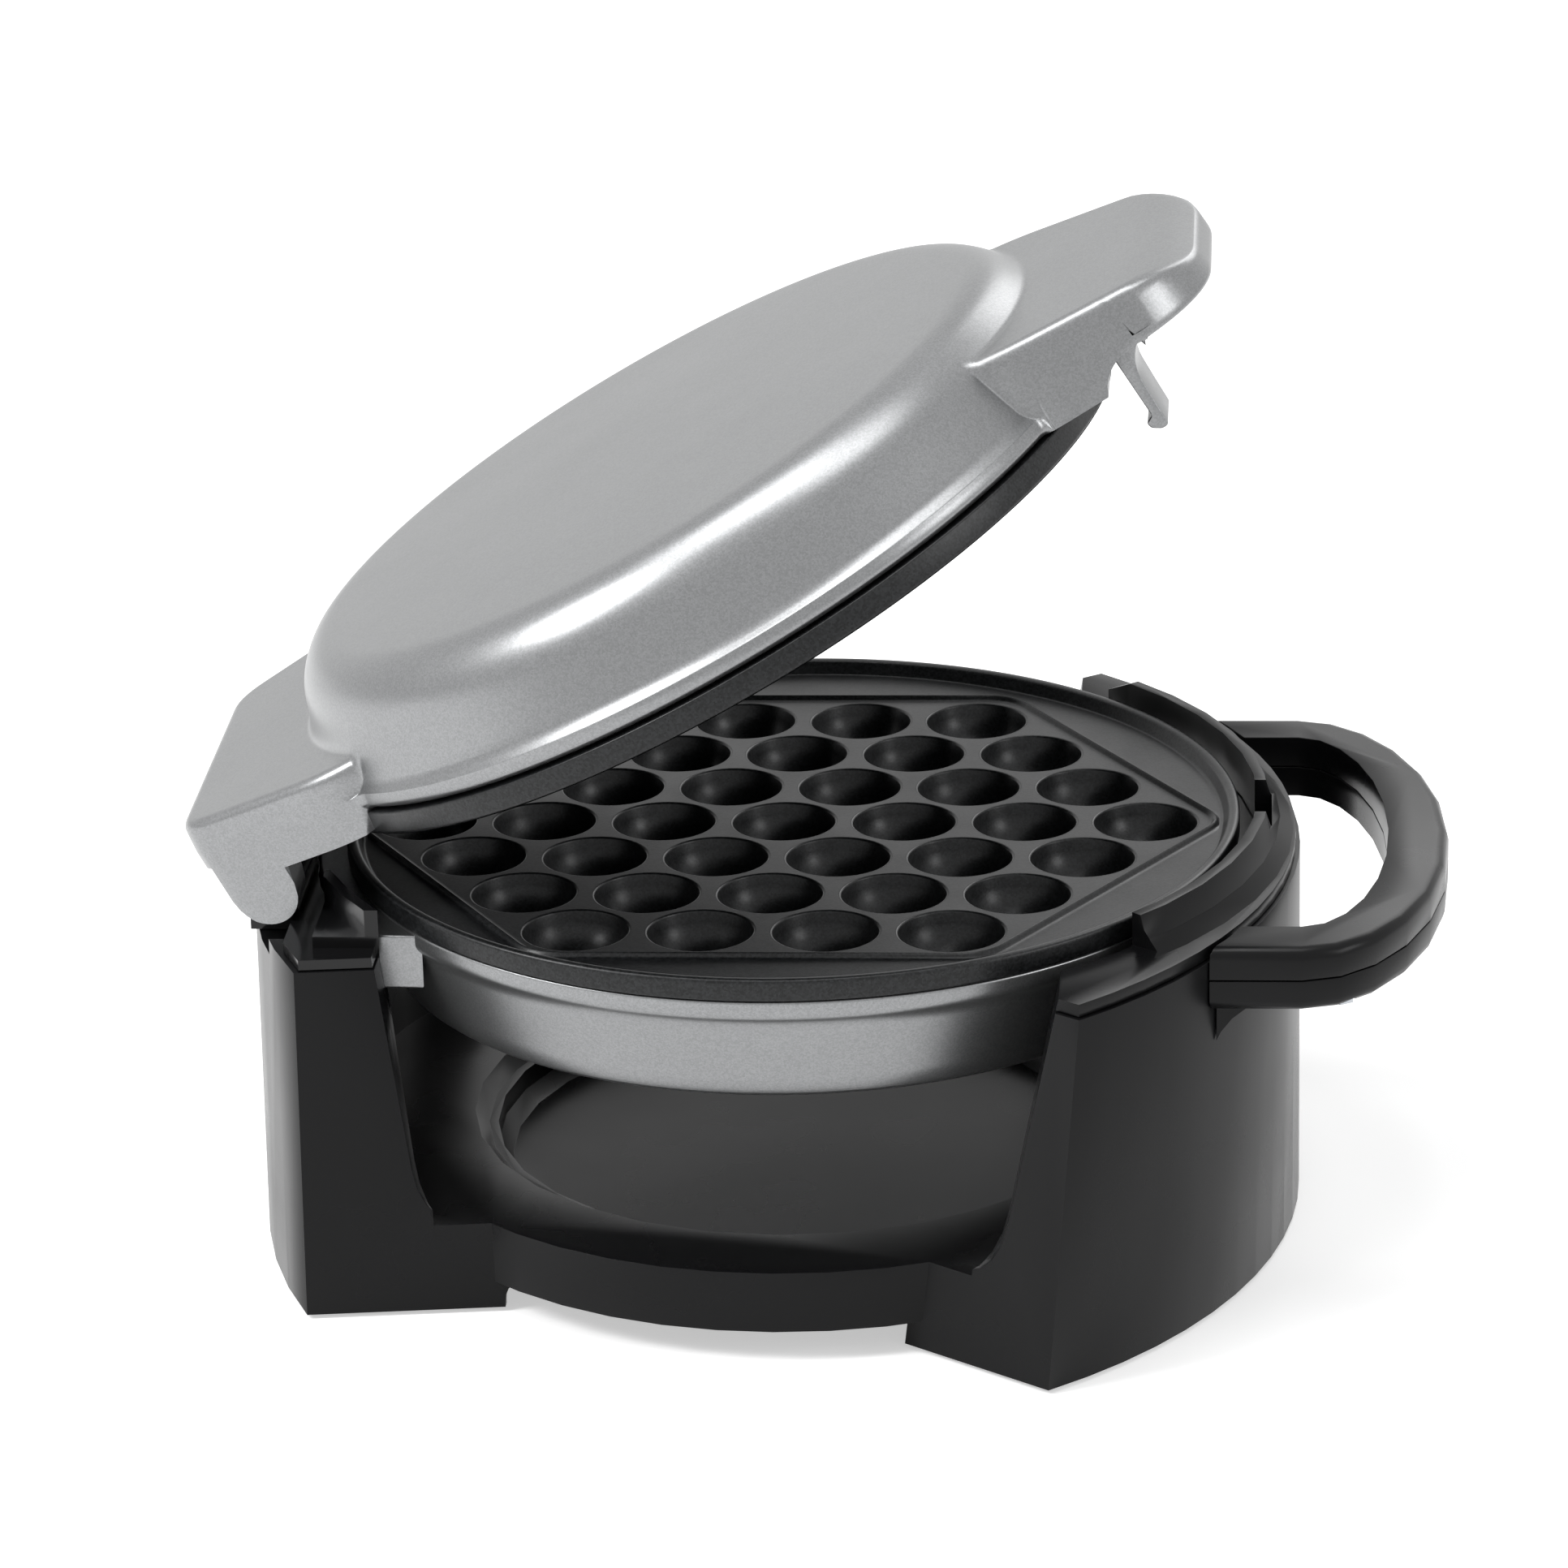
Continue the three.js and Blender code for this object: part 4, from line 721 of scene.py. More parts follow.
@dataclass
class LidShell:
    """The lid: crowned disc, bevel, skirt and bead, with its handle, neck, hinge wedge and knuckles.

    It is one skin of rings that share their columns round the bowl's axis. Heights count from the
    lid's base, lengths from the bowl's axis, with the lid closed.

    Attributes:
        base: Height of the lid's base above the ground.
        bead: Radius of the bead at the lower edge.
        wall: Thickness of the moulding.
        inner_radius: Radius of the inner wall at its lower edge.
        dome_corners: Profile of the disc, bevel and skirt as radii and heights.
        skirt_foot: Radius at which the rings over the top leave circles for the outline.
        bead_corners: Profile of the bead, from the skirt down to the inner wall.
        handle_corners: Outline of the handle's +Y half, from its root to its tip.
        wedge_corners: The same of the wedge, with X turned round.
        plan_fillets: Width of the fillets beside the handle and beside the wedge, seen from above.
        top_fillets: Width of the fillets from the dome up the handle and up the wedge.
        takeover: How far outside the bead the handle's and the wedge's walls have fully taken over.
        handle_root: Place along X from which the handle falls.
        handle_top: Height of the handle's top there.
        handle_slope: How far it falls in each millimetre.
        handle_foot: Height of the handle's side at its outline.
        handle_edge: Radius of the handle's upper edge, and how far its side leans in.
        handle_underside: Height of its underside.
        nose: Height of the tip's upper edge, from where the top stays level with the ground when open.
        nose_fillet: Width of the fillet where it starts.
        neck_x: Places along X of the curve from the underside down the neck.
        neck_drop: How far each lies below the underside.
        slot_x: Place along X of the slot's floor, behind the latch lever.
        slot_half: Half the slot's width.
        rounding: Place along X where the underside's rounded edge starts, and how far it takes.
        edge_inset: How far each ring of that edge lies inside the outline.
        edge_rise: How far its middle rings lie above the underside.
        recess: Depth of the recess for the handle's cover.
        recess_x: Place along X where the recess starts, and how far its wall takes.
        recess_inset: How much further each ring of the underside's edge lies inside there.
        wedge_top: Height of the wedge's top.
        wedge_edge: Radius of the wedge's upper edge, and how far its side leans in.
        wedge_foot: Height of the wedge's side at its outline.
        wedge_low: Height of its lower edge.
        wedge_rise: How far that edge rises at 45 degrees past the hinge.
        wedge_rise_x: Distance from the bowl's axis at which it starts.
        wedge_turn: How far the wedge's last two rings turn in.
        wall_overrun: How far the rings down the wedge run past its lower edge, so that the last turn in.
        dip_rings: The ring at which the wall starts to dip round the hinge, and over how many it does.
        inner_drop: How far the dome's inner face lies below its outer one, besides the wall.
        inner_foot: Height of the hollow wedge's side at its outline.
        inner_least: Least height of the inner face over the lower edge.
        columns: Columns spread over the outline.
        pair_gap: Half the gap between the close columns at the knuckles' edges.
        top_spread: How the rings over the outline crowd together: one is even.
        inner_spread: The same for the rings inside.
        wall_rings: Rings down the outer wall.
        inner_count: Rings up the inside.
        dense_spots: How much denser the columns stand, at which direction and how widely, in degrees.
    """

    base: float = 89.8
    bead: float = 95.5
    wall: float = 2.2
    inner_radius: float = 92.3
    dome_corners: Corners = (
        (0, 34.7, 0), (45, 34.35, 20), (81.5, 33.4, 4.5), (88.3, 27.2, 4.0),
        (93.4, 12.3, 0.8), (94.2, 11.2, 0.5), (95.5, 9.9, 0.5), (99, 9.3, 0),
    )
    skirt_foot: float = 93.4
    bead_corners: Corners = (
        (95.5, 9.9, 0), (95.7, 9.0, 0.5), (95.7, 7.2, 0.8), (94.4, 6.0, 0.3), (94.0, 6.0, 0),
    )
    handle_corners: Corners = ((40, 43.5, 0), (86, 43.5, 6), (114, 36, 5), (127, 30, 18), (127, 0, 0))
    wedge_corners: Corners = ((40, 57, 0), (84, 57, 6), (113, 44.5, 3), (121, 40.8, 7.5), (121, 0, 0))
    plan_fillets: Pair = (2.5, 4.0)
    top_fillets: Pair = (2.6, 4.0)
    takeover: Pair = (1.2, 2.5)
    handle_root: float = 84.0
    handle_top: float = 26.0
    handle_slope: float = 0.07
    handle_foot: float = 14.5
    handle_edge: Pair = (2.8, 0.5)
    handle_underside: float = 12.5
    nose: float = 18.6
    nose_fillet: float = 3.0
    neck_x: Row = (110.0, 108.0, 106.0, 104.2, 102.6, 101.3, 100.3, 99.7, 99.4)
    neck_drop: Row = (0.0, 0.1, 0.4, 0.9, 1.8, 3.0, 4.4, 6.0, 6.5)
    slot_x: float = 97.2
    slot_half: float = 8.4
    rounding: Pair = (106.0, 8.0)
    edge_inset: Row = (0, 0, 0.2, 0.7, 1.2, 1.2)
    edge_rise: Row = (0.9, 0.3, 0, 0)
    recess: float = 2.8
    recess_x: Pair = (111.5, 1.5)
    recess_inset: Row = (0, 0, 0, 0, 2.0, 2.2)
    wedge_top: float = 17.0
    wedge_edge: Pair = (2.6, 0.4)
    wedge_foot: float = 9.0
    wedge_low: float = 1.2
    wedge_rise: float = 4.8
    wedge_rise_x: float = 111.2
    wedge_turn: Pair = (0.8, 1.9)
    wall_overrun: float = 1.75
    dip_rings: tuple[int, int] = (8, 4)
    inner_drop: float = 0.6
    inner_foot: float = 6.0
    inner_least: float = 0.4
    columns: int = 760
    pair_gap: float = 0.03
    top_spread: float = 1.8
    inner_spread: float = 0.7
    wall_rings: int = 15
    inner_count: int = 20
    dense_spots: tuple[tuple[float, float, float], ...] = ((3.2, 27.5, 2.6), (2.0, 143, 3))

    def __post_init__(self) -> None:
        """Works out the outlines, the columns and which form each column passes."""
        self.dome = rounded(self.dome_corners, 10)
        self.handle = rounded(self.handle_corners, 16)
        self.wedge = rounded(self.wedge_corners, 12)
        self.angle = self.directions()
        self.rim = self.rim_radius(self.angle)
        self.edge_x, self.edge_y = self.spread(self.rim)
        handle, wedge = self.reaches(self.angle)
        self.in_handle = ramp(handle, self.bead, self.takeover[0])
        self.in_wedge = ramp(wedge, self.bead, self.takeover[1])
        over_hinge = np.abs(self.edge_x - HINGE.x) < HINGE.knuckle_radius
        self.on_knuckle = over_hinge & (np.abs(self.edge_y) > HINGE.knuckle_inner + 1)

    def spread(self, radius: np.ndarray) -> tuple[np.ndarray, np.ndarray]:
        """Places along X and Y at a radius in each column."""
        return radius * np.cos(self.angle), radius * np.sin(self.angle)

    def reach(self, outline: np.ndarray, angle: np.ndarray) -> np.ndarray:
        """Finds where rays from the bowl's axis leave an outline.

        Args:
            outline: Points of the outline's +Y half.
            angle: Directions of the rays from the side that the outline lies on.

        Returns:
            The radius at which each ray leaves, zero where it misses the outline.
        """
        order = np.arange(len(outline))
        fine = np.linspace(0, order[-1], 200 * order[-1] + 1)
        x, y = np.interp(fine, order, outline[:, 0]), np.interp(fine, order, outline[:, 1])
        return np.interp(np.abs(angle), np.arctan2(y, x)[::-1], np.hypot(x, y)[::-1], right=0.0)

    def reaches(self, angle: np.ndarray) -> tuple[np.ndarray, np.ndarray]:
        """How far the handle and the wedge reach in each direction."""
        return self.reach(self.handle, angle), self.reach(self.wedge, np.pi - np.abs(angle))

    def rim_radius(self, angle: np.ndarray) -> np.ndarray:
        """Plan outline of the lid: bead, handle and wedge joined with small fillets.

        Args:
            angle: Directions from the bowl's axis.

        Returns:
            The outline's radius in each direction.
        """
        handle, wedge = self.reaches(angle)
        bead = np.full(angle.shape, self.bead)
        return smooth_max(smooth_max(bead, handle, self.plan_fillets[0]), wedge, self.plan_fillets[1])

    def directions(self) -> np.ndarray:
        """Spreads the columns by the outline's length, denser beside the handle and the wedge.

        Returns:
            The columns' directions, with close pairs at the knuckles' edges.
        """
        spots = []
        fine = np.linspace(-np.pi, np.pi, 20001)
        rim = self.rim_radius(fine)
        x, y = rim * np.cos(fine), rim * np.sin(fine)
        step = np.hypot(np.diff(x), np.diff(y))
        middle = np.degrees(np.abs(fine[:-1] + fine[1:]) / 2)
        for gain, place, width in self.dense_spots:
            spots.append(gain * np.exp(-((middle - place) / width) ** 2))
        travel = np.r_[0, np.cumsum(step * (1 + sum(spots)))]
        even = np.interp(np.linspace(0, travel[-1], self.columns, endpoint=False), travel, fine)
        side = (x < -self.bead) & (y > HINGE.knuckle_inner - 4)
        ends, gaps = np.array([-1, -1, 1, 1]), np.array([-1, 1, -1, 1])
        edges = HINGE.x + HINGE.knuckle_radius * ends + self.pair_gap * gaps
        pairs = np.interp(edges, x[side][::-1], fine[side][::-1])
        return np.sort(np.r_[even, pairs, -pairs])

    def top_height(self, x: np.ndarray, y: np.ndarray) -> np.ndarray:
        """Height of the lid's top: the dome, the handle and the wedge joined with fillets.

        Args:
            x: Places along X.
            y: Places along Y.

        Returns:
            The heights.
        """
        dome = np.interp(np.hypot(x, y), self.dome[:, 0], self.dome[:, 1])
        fall = self.handle_slope * (x - self.handle_root)
        inside = inside_distance(x, y, self.handle)
        handle = edge_height(inside, self.handle_top, *self.handle_edge, self.handle_foot + fall) - fall
        nose = self.nose + (self.handle_corners[-1][0] - x) * math.tan(math.radians(HINGE.opening))
        handle = np.where(x > 0, -smooth_max(-handle, -nose, self.nose_fillet), FAR_BELOW)
        inside = inside_distance(-x, y, self.wedge)
        wedge = edge_height(inside, self.wedge_top, *self.wedge_edge, self.wedge_foot)
        wedge = np.where(x < 0, wedge, FAR_BELOW)
        return smooth_max(smooth_max(dome, handle, self.top_fillets[0]), wedge, self.top_fillets[1])

    def top_rings(self) -> np.ndarray:
        """Rings over the top: circles to the skirt's foot, then rings that reach out to the rim.

        Returns:
            The rings, from the disc's middle outwards.
        """
        circles = np.r_[np.linspace(0.5, 76, 12), np.linspace(78, self.skirt_foot, 26)][:, None]
        out = 1 - (1 - np.linspace(0, 1, 28)[1:, None]) ** self.top_spread
        outer = self.skirt_foot + (self.rim - self.skirt_foot)[None] * out
        x, y = self.spread(np.concatenate([circles + 0 * self.rim, outer]))
        return np.stack([x, y, self.top_height(x, y)], -1)

    def lower_rings(self, top: np.ndarray) -> np.ndarray:
        """Rings down the walls: each column takes the bead, the handle's underside or the wedge's side.

        Args:
            top: Height of the top's outer edge in each column.

        Returns:
            The rings, from the top's outer edge to the lower edge of the inner wall.
        """
        bead = rounded(self.bead_corners, 5)
        travel = along_line(bead)
        at = np.linspace(0, 1, self.wall_rings)[:, None] * travel[-1]
        bead_r = np.interp(at, travel, bead[:, 0]) + (self.rim - self.bead)[None]
        bead_h = np.interp(at, travel, bead[:, 1])
        handle_r, handle_h = self.under_handle(top)
        wedge_r, wedge_h = self.beside_wedge(top)
        plain = 1 - self.in_handle - self.in_wedge
        radius = bead_r * plain + handle_r * self.in_handle + wedge_r * self.in_wedge
        height = bead_h * plain + handle_h * self.in_handle + wedge_h * self.in_wedge
        rings = np.stack([*self.spread(radius), height], -1)
        knuckle = self.on_knuckle
        rings[-2:, knuckle, 0] = rings[0, knuckle, 0]
        rings[-2:, knuckle, 1] = np.sign(rings[0, knuckle, 1]) * HINGE.knuckle_inner
        rings[-1, knuckle, 2] = self.wedge_top - 2 * self.wall
        return rings

    def under_handle(self, top: np.ndarray) -> tuple[np.ndarray, np.ndarray]:
        """Rings under the handle: its lower edge, its underside and the neck's curve.

        Args:
            top: Height of the top's outer edge in each column.

        Returns:
            Radius and height of the rings. A column that meets the neck's curve goes straight down to it.
        """
        cos = np.maximum(np.cos(self.angle), 0.2)
        edge_x = self.rim * cos
        neck_x, neck_h = np.array(self.neck_x), self.handle_underside - np.array(self.neck_drop)
        under = np.interp(edge_x, neck_x[::-1], neck_h[::-1])
        out, recess = ramp(edge_x, *self.rounding), ramp(edge_x, *self.recess_x)
        inset = np.outer(self.edge_inset, out) + np.outer(self.recess_inset, recess)
        edge = [top, *(under + rise * out for rise in self.edge_rise), under + self.recess * recess]
        slot = (np.abs(self.edge_y) < self.slot_half) & (self.edge_x > 0)
        curve = np.minimum(neck_x[:, None], edge_x[None] - inset[-1] * cos)
        face = np.where(slot[None], np.minimum(self.slot_x, curve), curve)
        height = np.interp(curve, neck_x[::-1], neck_h[::-1])
        height[0] += self.recess * recess
        return np.concatenate([self.rim - inset, face / cos]), np.concatenate([np.stack(edge), height])

    def beside_wedge(self, top: np.ndarray) -> tuple[np.ndarray, np.ndarray]:
        """Rings down the wedge's wall, which dips round the hinge in half circles, the knuckles.

        Args:
            top: Height of the top's outer edge in each column.

        Returns:
            Radius and height of the rings.
        """
        low = self.wedge_low + self.wedge_rise * ramp(-self.edge_x, self.wedge_rise_x, self.wedge_rise)
        wall = np.minimum(np.linspace(0, self.wall_overrun, self.wall_rings), 1.0)[:, None]
        height = top + (low - top) * wall
        inset = np.zeros((self.wall_rings, 1))
        inset[-2:, 0] = self.wedge_turn
        across = self.edge_x - HINGE.x
        round_pin = np.sqrt(np.maximum(HINGE.knuckle_radius ** 2 - across ** 2, 0.0))
        foot = HINGE.z - self.base - round_pin
        dip = (foot - height) * ramp(np.arange(self.wall_rings), *self.dip_rings)[:, None]
        return self.rim - inset, np.where(self.on_knuckle[None], height + dip, height)

    def inner_rings(self, foot: np.ndarray) -> np.ndarray:
        """Rings up the inside: the dome's and wedge's inner wall, one wall in from the outside.

        Args:
            foot: The last ring of the outer wall.

        Returns:
            The rings, from the lower edge to the middle.
        """
        start = self.inner_radius + (self.rim - self.wall - self.inner_radius) * self.in_wedge
        first = np.stack(self.spread(start), -1)
        first[self.on_knuckle] = foot[self.on_knuckle, :2]
        share = (1 - np.linspace(0, 1, self.inner_count)) ** self.inner_spread
        plan = first[None] * share[:, None, None]
        x, y = plan[..., 0], plan[..., 1]
        radius = np.hypot(x, y)
        wider = (radius + self.wall) / np.maximum(radius, 1e-6)
        dome = np.interp(radius + self.wall, self.dome[:, 0], self.dome[:, 1]) - self.inner_drop
        inside = inside_distance(-x * wider, y * wider, self.wedge)
        room = edge_height(inside, self.wedge_top - self.wall, *self.wedge_edge, self.inner_foot)
        height = np.maximum(dome, np.where(x < 0, room, FAR_BELOW))
        height = np.maximum(height, foot[:, 2] + self.inner_least)
        edge = np.concatenate([first, foot[:, 2:]], -1)
        return np.concatenate([edge[None], np.stack([x, y, height], -1)])

    def build(self) -> None:
        """Builds the lid's skin, from the disc's middle over the rim and back up the inside."""
        top = self.top_rings()
        lower = self.lower_rings(top[-1, :, 2])
        rings = np.concatenate([top, lower[1:], self.inner_rings(lower[-1])])
        rings[..., 2] += self.base
        points, faces = skinned(rings)
        make_piece("lid_shell_fine", HINGE.open(points), faces, Body.LID, SILVER_LACQUER, "lid_shell", 50.0)


@dataclass
class CastPlate:
    """A cast plate: rows of domed cells inside a six-sided ridge, with a raised rim.

    Heights count from the face between the cells, which points up.

    Attributes:
        name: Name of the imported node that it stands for.
        body: The body that it rides on.
        radius: Radius of the plate.
        rim_height: Height of the rim above the face.
        flange: Height of the flange from its underside to the rim's top.
        shoulder: Radius of the body under the flange.
        foot: Radius of the body at its foot.
        plane: Height of the face above the ground, with the lid closed.
        facing_down: Whether the plate hangs in the lid.
        pitch: Distance between cells in a row.
        row_pitch: Distance between rows.
        rows: Cells in each row.
        shift: How far the cells lie off the middle, away from the handle.
        cell_radius: Radius of a cell at the face.
        cell_depth: Depth of a cell.
        cell_turn: Degrees of the cell's ellipse from its bottom to where its lip starts.
        cell_share: Share of the radius inside the lip that the ellipse fills.
        lip: Width of the rounded lip.
        flat: Width of the flat ring round it.
        cell_columns: Points round a cell.
        ridge_away: Distance of the ridge's crest from the outer cells' edges.
        ridge_half: Half the ridge's width.
        ridge_height: Height of its crest.
        ridge_corner: Where the curve at the outline's corners starts, on the outer cells' edges.
        ridge_flats: Distances of the flat strips' outer edges from the outer cells' edges.
        ridge_margin: Least distance of the ridge from the rim.
        ridge_fade: How far past that the crest sinks to nothing.
        ridge_gap: Least distance between its rings.
        depth: Depth of the plate below the face.
        rim_width: Width of the raised rim.
        rim_foot: Distances inside the rim at which the face ends and the rise starts.
        foot_edge: Width of the bevel at the plate's foot.
    """

    name: str
    body: Body
    radius: float
    rim_height: float
    flange: float
    shoulder: float
    foot: float
    plane: float
    facing_down: bool = False
    pitch: float = 26.2
    row_pitch: float = 20.9076
    rows: tuple[int, ...] = (4, 5, 6, 7, 6, 5, 4)
    shift: float = 2.0
    cell_radius: float = 11.2
    cell_depth: float = 9.9
    cell_turn: float = 76.0
    cell_share: float = 0.985
    lip: float = 0.45
    flat: float = 0.4
    cell_columns: int = 48
    ridge_away: float = 3.0
    ridge_half: float = 1.05
    ridge_height: float = 1.0
    ridge_corner: float = 4.5
    ridge_flats: Pair = (1.25, 5.0)
    ridge_margin: float = 2.2
    ridge_fade: float = 2.0
    ridge_gap: float = 0.03
    depth: float = 12.0
    rim_width: float = 2.2
    rim_foot: Pair = (2.0, 1.4)
    foot_edge: float = 2.6

    def cell_places(self) -> np.ndarray:
        """Places the cells row by row.

        Returns:
            The cells' centres.
        """
        middle = (len(self.rows) - 1) / 2
        places = [
            ((i - (count - 1) / 2) * self.pitch - self.shift, (row - middle) * self.row_pitch)
            for row, count in enumerate(self.rows) for i in range(count)
        ]
        return np.array(places)

    def cell_rings(self) -> np.ndarray:
        """Makes one cell: r = R sin t, z = -depth cos t, then a rounded lip and a flat ring round it.

        Returns:
            The rings, from the bottom up.
        """
        turn = np.linspace(0.04, 1.0, 12) * np.radians(self.cell_turn)
        top = np.sin(np.radians(self.cell_turn))
        radius = (self.cell_radius - self.lip) * np.sin(turn) / top * self.cell_share
        bowl = np.stack([radius, -self.cell_depth * np.cos(turn)], 1)
        corners = ((*bowl[-1], 0), (self.cell_radius, 0, self.lip), (self.cell_radius + self.flat, 0, 0))
        lip = rounded(corners, 7)
        return lathe(np.concatenate([bowl[:-1], lip]), self.cell_columns)

    def ridge_outline(self, away: float, columns: int = 360) -> np.ndarray:
        """The six-sided outline round the cells, its corners rounded.

        Args:
            away: Its distance from the outer cells' edges.
            columns: Points in it.

        Returns:
            The outline's points.
        """
        y = 3 * self.row_pitch
        half_middle, half_end = 3 * self.pitch, 1.5 * self.pitch
        slant = math.hypot(half_middle - half_end, y)
        reach = self.cell_radius + away
        tip = half_middle + reach * slant / y
        end_y = y + reach
        end = tip - end_y * (half_middle - half_end) / y
        plan = ((tip, 0), (end, end_y), (-end, end_y), (-tip, 0), (-end, -end_y), (end, -end_y))
        line = rounded([(*corner, self.ridge_corner + away / 2) for corner in plan], 10, closed=True)
        loop = np.concatenate([line, line[:1]])
        travel = along_line(loop)
        at = np.linspace(0, travel[-1], columns, endpoint=False)
        x, y = (np.interp(at, travel, part) for part in loop.T)
        return np.stack([x - self.shift, y], 1)

    def ridge_rings(self) -> np.ndarray:
        """The ridge: a bump that follows (1 + cos) / 2 across its width, with a flat strip on each side.

        Returns:
            The rings, from the cells outwards. Where the rim is near they close up and the bump sinks.
        """
        share = np.linspace(-1, 1, 9)
        away = np.r_[self.ridge_flats[0], self.ridge_away + share * self.ridge_half, self.ridge_flats[1]]
        height = np.r_[0.0, self.ridge_height / 2 * (1 + np.cos(np.pi * share)), 0.0]
        plan = np.stack([self.ridge_outline(a) for a in away])
        radius = np.hypot(plan[..., 0], plan[..., 1])
        limit = self.radius - self.rim_width - self.ridge_margin
        room = limit - self.ridge_gap * np.arange(len(away))[::-1, None]
        plan *= np.minimum(1, room / radius)[..., None]
        rise = height[:, None] * (1 - ramp(radius, limit, self.ridge_fade))
        return np.concatenate([plan, rise[..., None]], -1)

    def outside(self) -> np.ndarray:
        """Draws the plate's outside, from the face's outer edge over the rim and down to the underside.

        Returns:
            The profile's radii and heights.
        """
        inner = self.radius - self.rim_width
        top = self.rim_height
        low = top - self.flange
        edge = self.foot_edge
        corners = (
            (inner - self.rim_foot[0], 0, 0), (inner - self.rim_foot[1], 0, 0.5), (inner, top, 0.9),
            (self.radius, top, 0.9), (self.radius, low, 0.5), (self.shoulder, low, 0.5),
            (self.foot, -self.depth + edge, 1), (self.foot - edge, -self.depth, 1.5), (0, -self.depth, 0),
        )
        return rounded(corners, 5)

    def face(self, ridge: np.ndarray, edge: np.ndarray, cell: np.ndarray) -> tuple[np.ndarray, np.ndarray]:
        """Flat face between the cells, the ridge and the rim.

        Args:
            ridge: Rings of the ridge.
            edge: Ring at the face's outer edge.
            cell: Last ring of one cell.

        Returns:
            Points and triangles of the flat face.
        """
        places = self.cell_places()
        circles = cell[None, :, :2] + places[:, None]
        loops = [edge[:, :2], ridge[-1, :, :2], ridge[0, :, :2], *circles]
        starts = np.cumsum([0] + [len(loop) for loop in loops])
        links = np.concatenate([
            np.stack([np.arange(len(loop)), np.roll(np.arange(len(loop)), -1)], 1) + start
            for loop, start in zip(loops, starts)
        ])
        points = [Vector(point) for point in np.concatenate(loops).tolist()]
        made = delaunay_2d_cdt(points, links.tolist(), [], 0, 1e-5)
        flat = np.array([tuple(point) for point in made[0]])
        triangles = np.array(made[2])
        middle = flat[triangles].mean(1)
        near = np.hypot(*(middle[:, None] - places[None]).transpose(2, 0, 1)).min(1)
        in_cell = near <= np.hypot(*cell[0, :2]) * math.cos(math.pi / self.cell_columns)
        in_ridge = inside_loop(middle, ridge[-1, :, :2]) & ~inside_loop(middle, ridge[0, :, :2])
        outside = np.hypot(*middle.T) > np.hypot(*edge[0, :2]) * math.cos(math.pi / len(edge))
        kept = triangles[~in_cell & ~in_ridge & ~outside]
        return np.concatenate([flat, np.zeros((len(flat), 1))], 1), kept

    def build(self) -> None:
        """Builds the plate and hangs it in the lid where it faces down."""
        cell = self.cell_rings()
        ridge = self.ridge_rings()
        outside = lathe(self.outside())
        flat, triangles = self.face(ridge, outside[0], cell[-1])
        rows, columns = cell.shape[:2]
        around = np.arange(columns)
        fan = np.stack([np.full(columns, rows * columns), around, np.roll(around, -1)], 1)
        parts = [(flat, [triangles])]
        for rings in (ridge, outside):
            parts.append((rings.reshape(-1, 3), [ring_faces(*rings.shape[:2])[:, ::-1]]))
        dish = np.concatenate([cell.reshape(-1, 3), [[0.0, 0.0, -self.cell_depth]]])
        for x, y in self.cell_places():
            parts.append((dish + np.array([x, y, 0.0]), [ring_faces(rows, columns)[:, ::-1], fan]))
        starts = np.cumsum([0] + [len(points) for points, _ in parts])
        faces = [group + start for (_, groups), start in zip(parts, starts) for group in groups]
        whole = np.concatenate([points for points, _ in parts])
        if self.facing_down:
            whole = HINGE.open(whole * np.array([1.0, -1.0, -1.0]) + np.array([0.0, 0.0, self.plane]))
        else:
            whole = whole + np.array([0.0, 0.0, self.plane])
        make_piece(f"{self.name}_fine", whole, faces, self.body, NON_STICK, self.name, 35.0)


def inside_loop(points: np.ndarray, loop: np.ndarray) -> np.ndarray:
    """Tells which points lie inside a loop that rays from its middle leave once.

    Args:
        points: Points in the plane.
        loop: Points of the loop.

    Returns:
        True for each point inside.
    """
    x, y = (loop - loop.mean(0)).T
    angle = np.arctan2(y, x)
    order = np.argsort(angle)
    radius, angle = np.hypot(x, y)[order], angle[order]
    away_x, away_y = (points - loop.mean(0)).T
    turns = np.r_[angle - 2 * np.pi, angle, angle + 2 * np.pi]
    return np.hypot(away_x, away_y) < np.interp(np.arctan2(away_y, away_x), turns, np.tile(radius, 3))


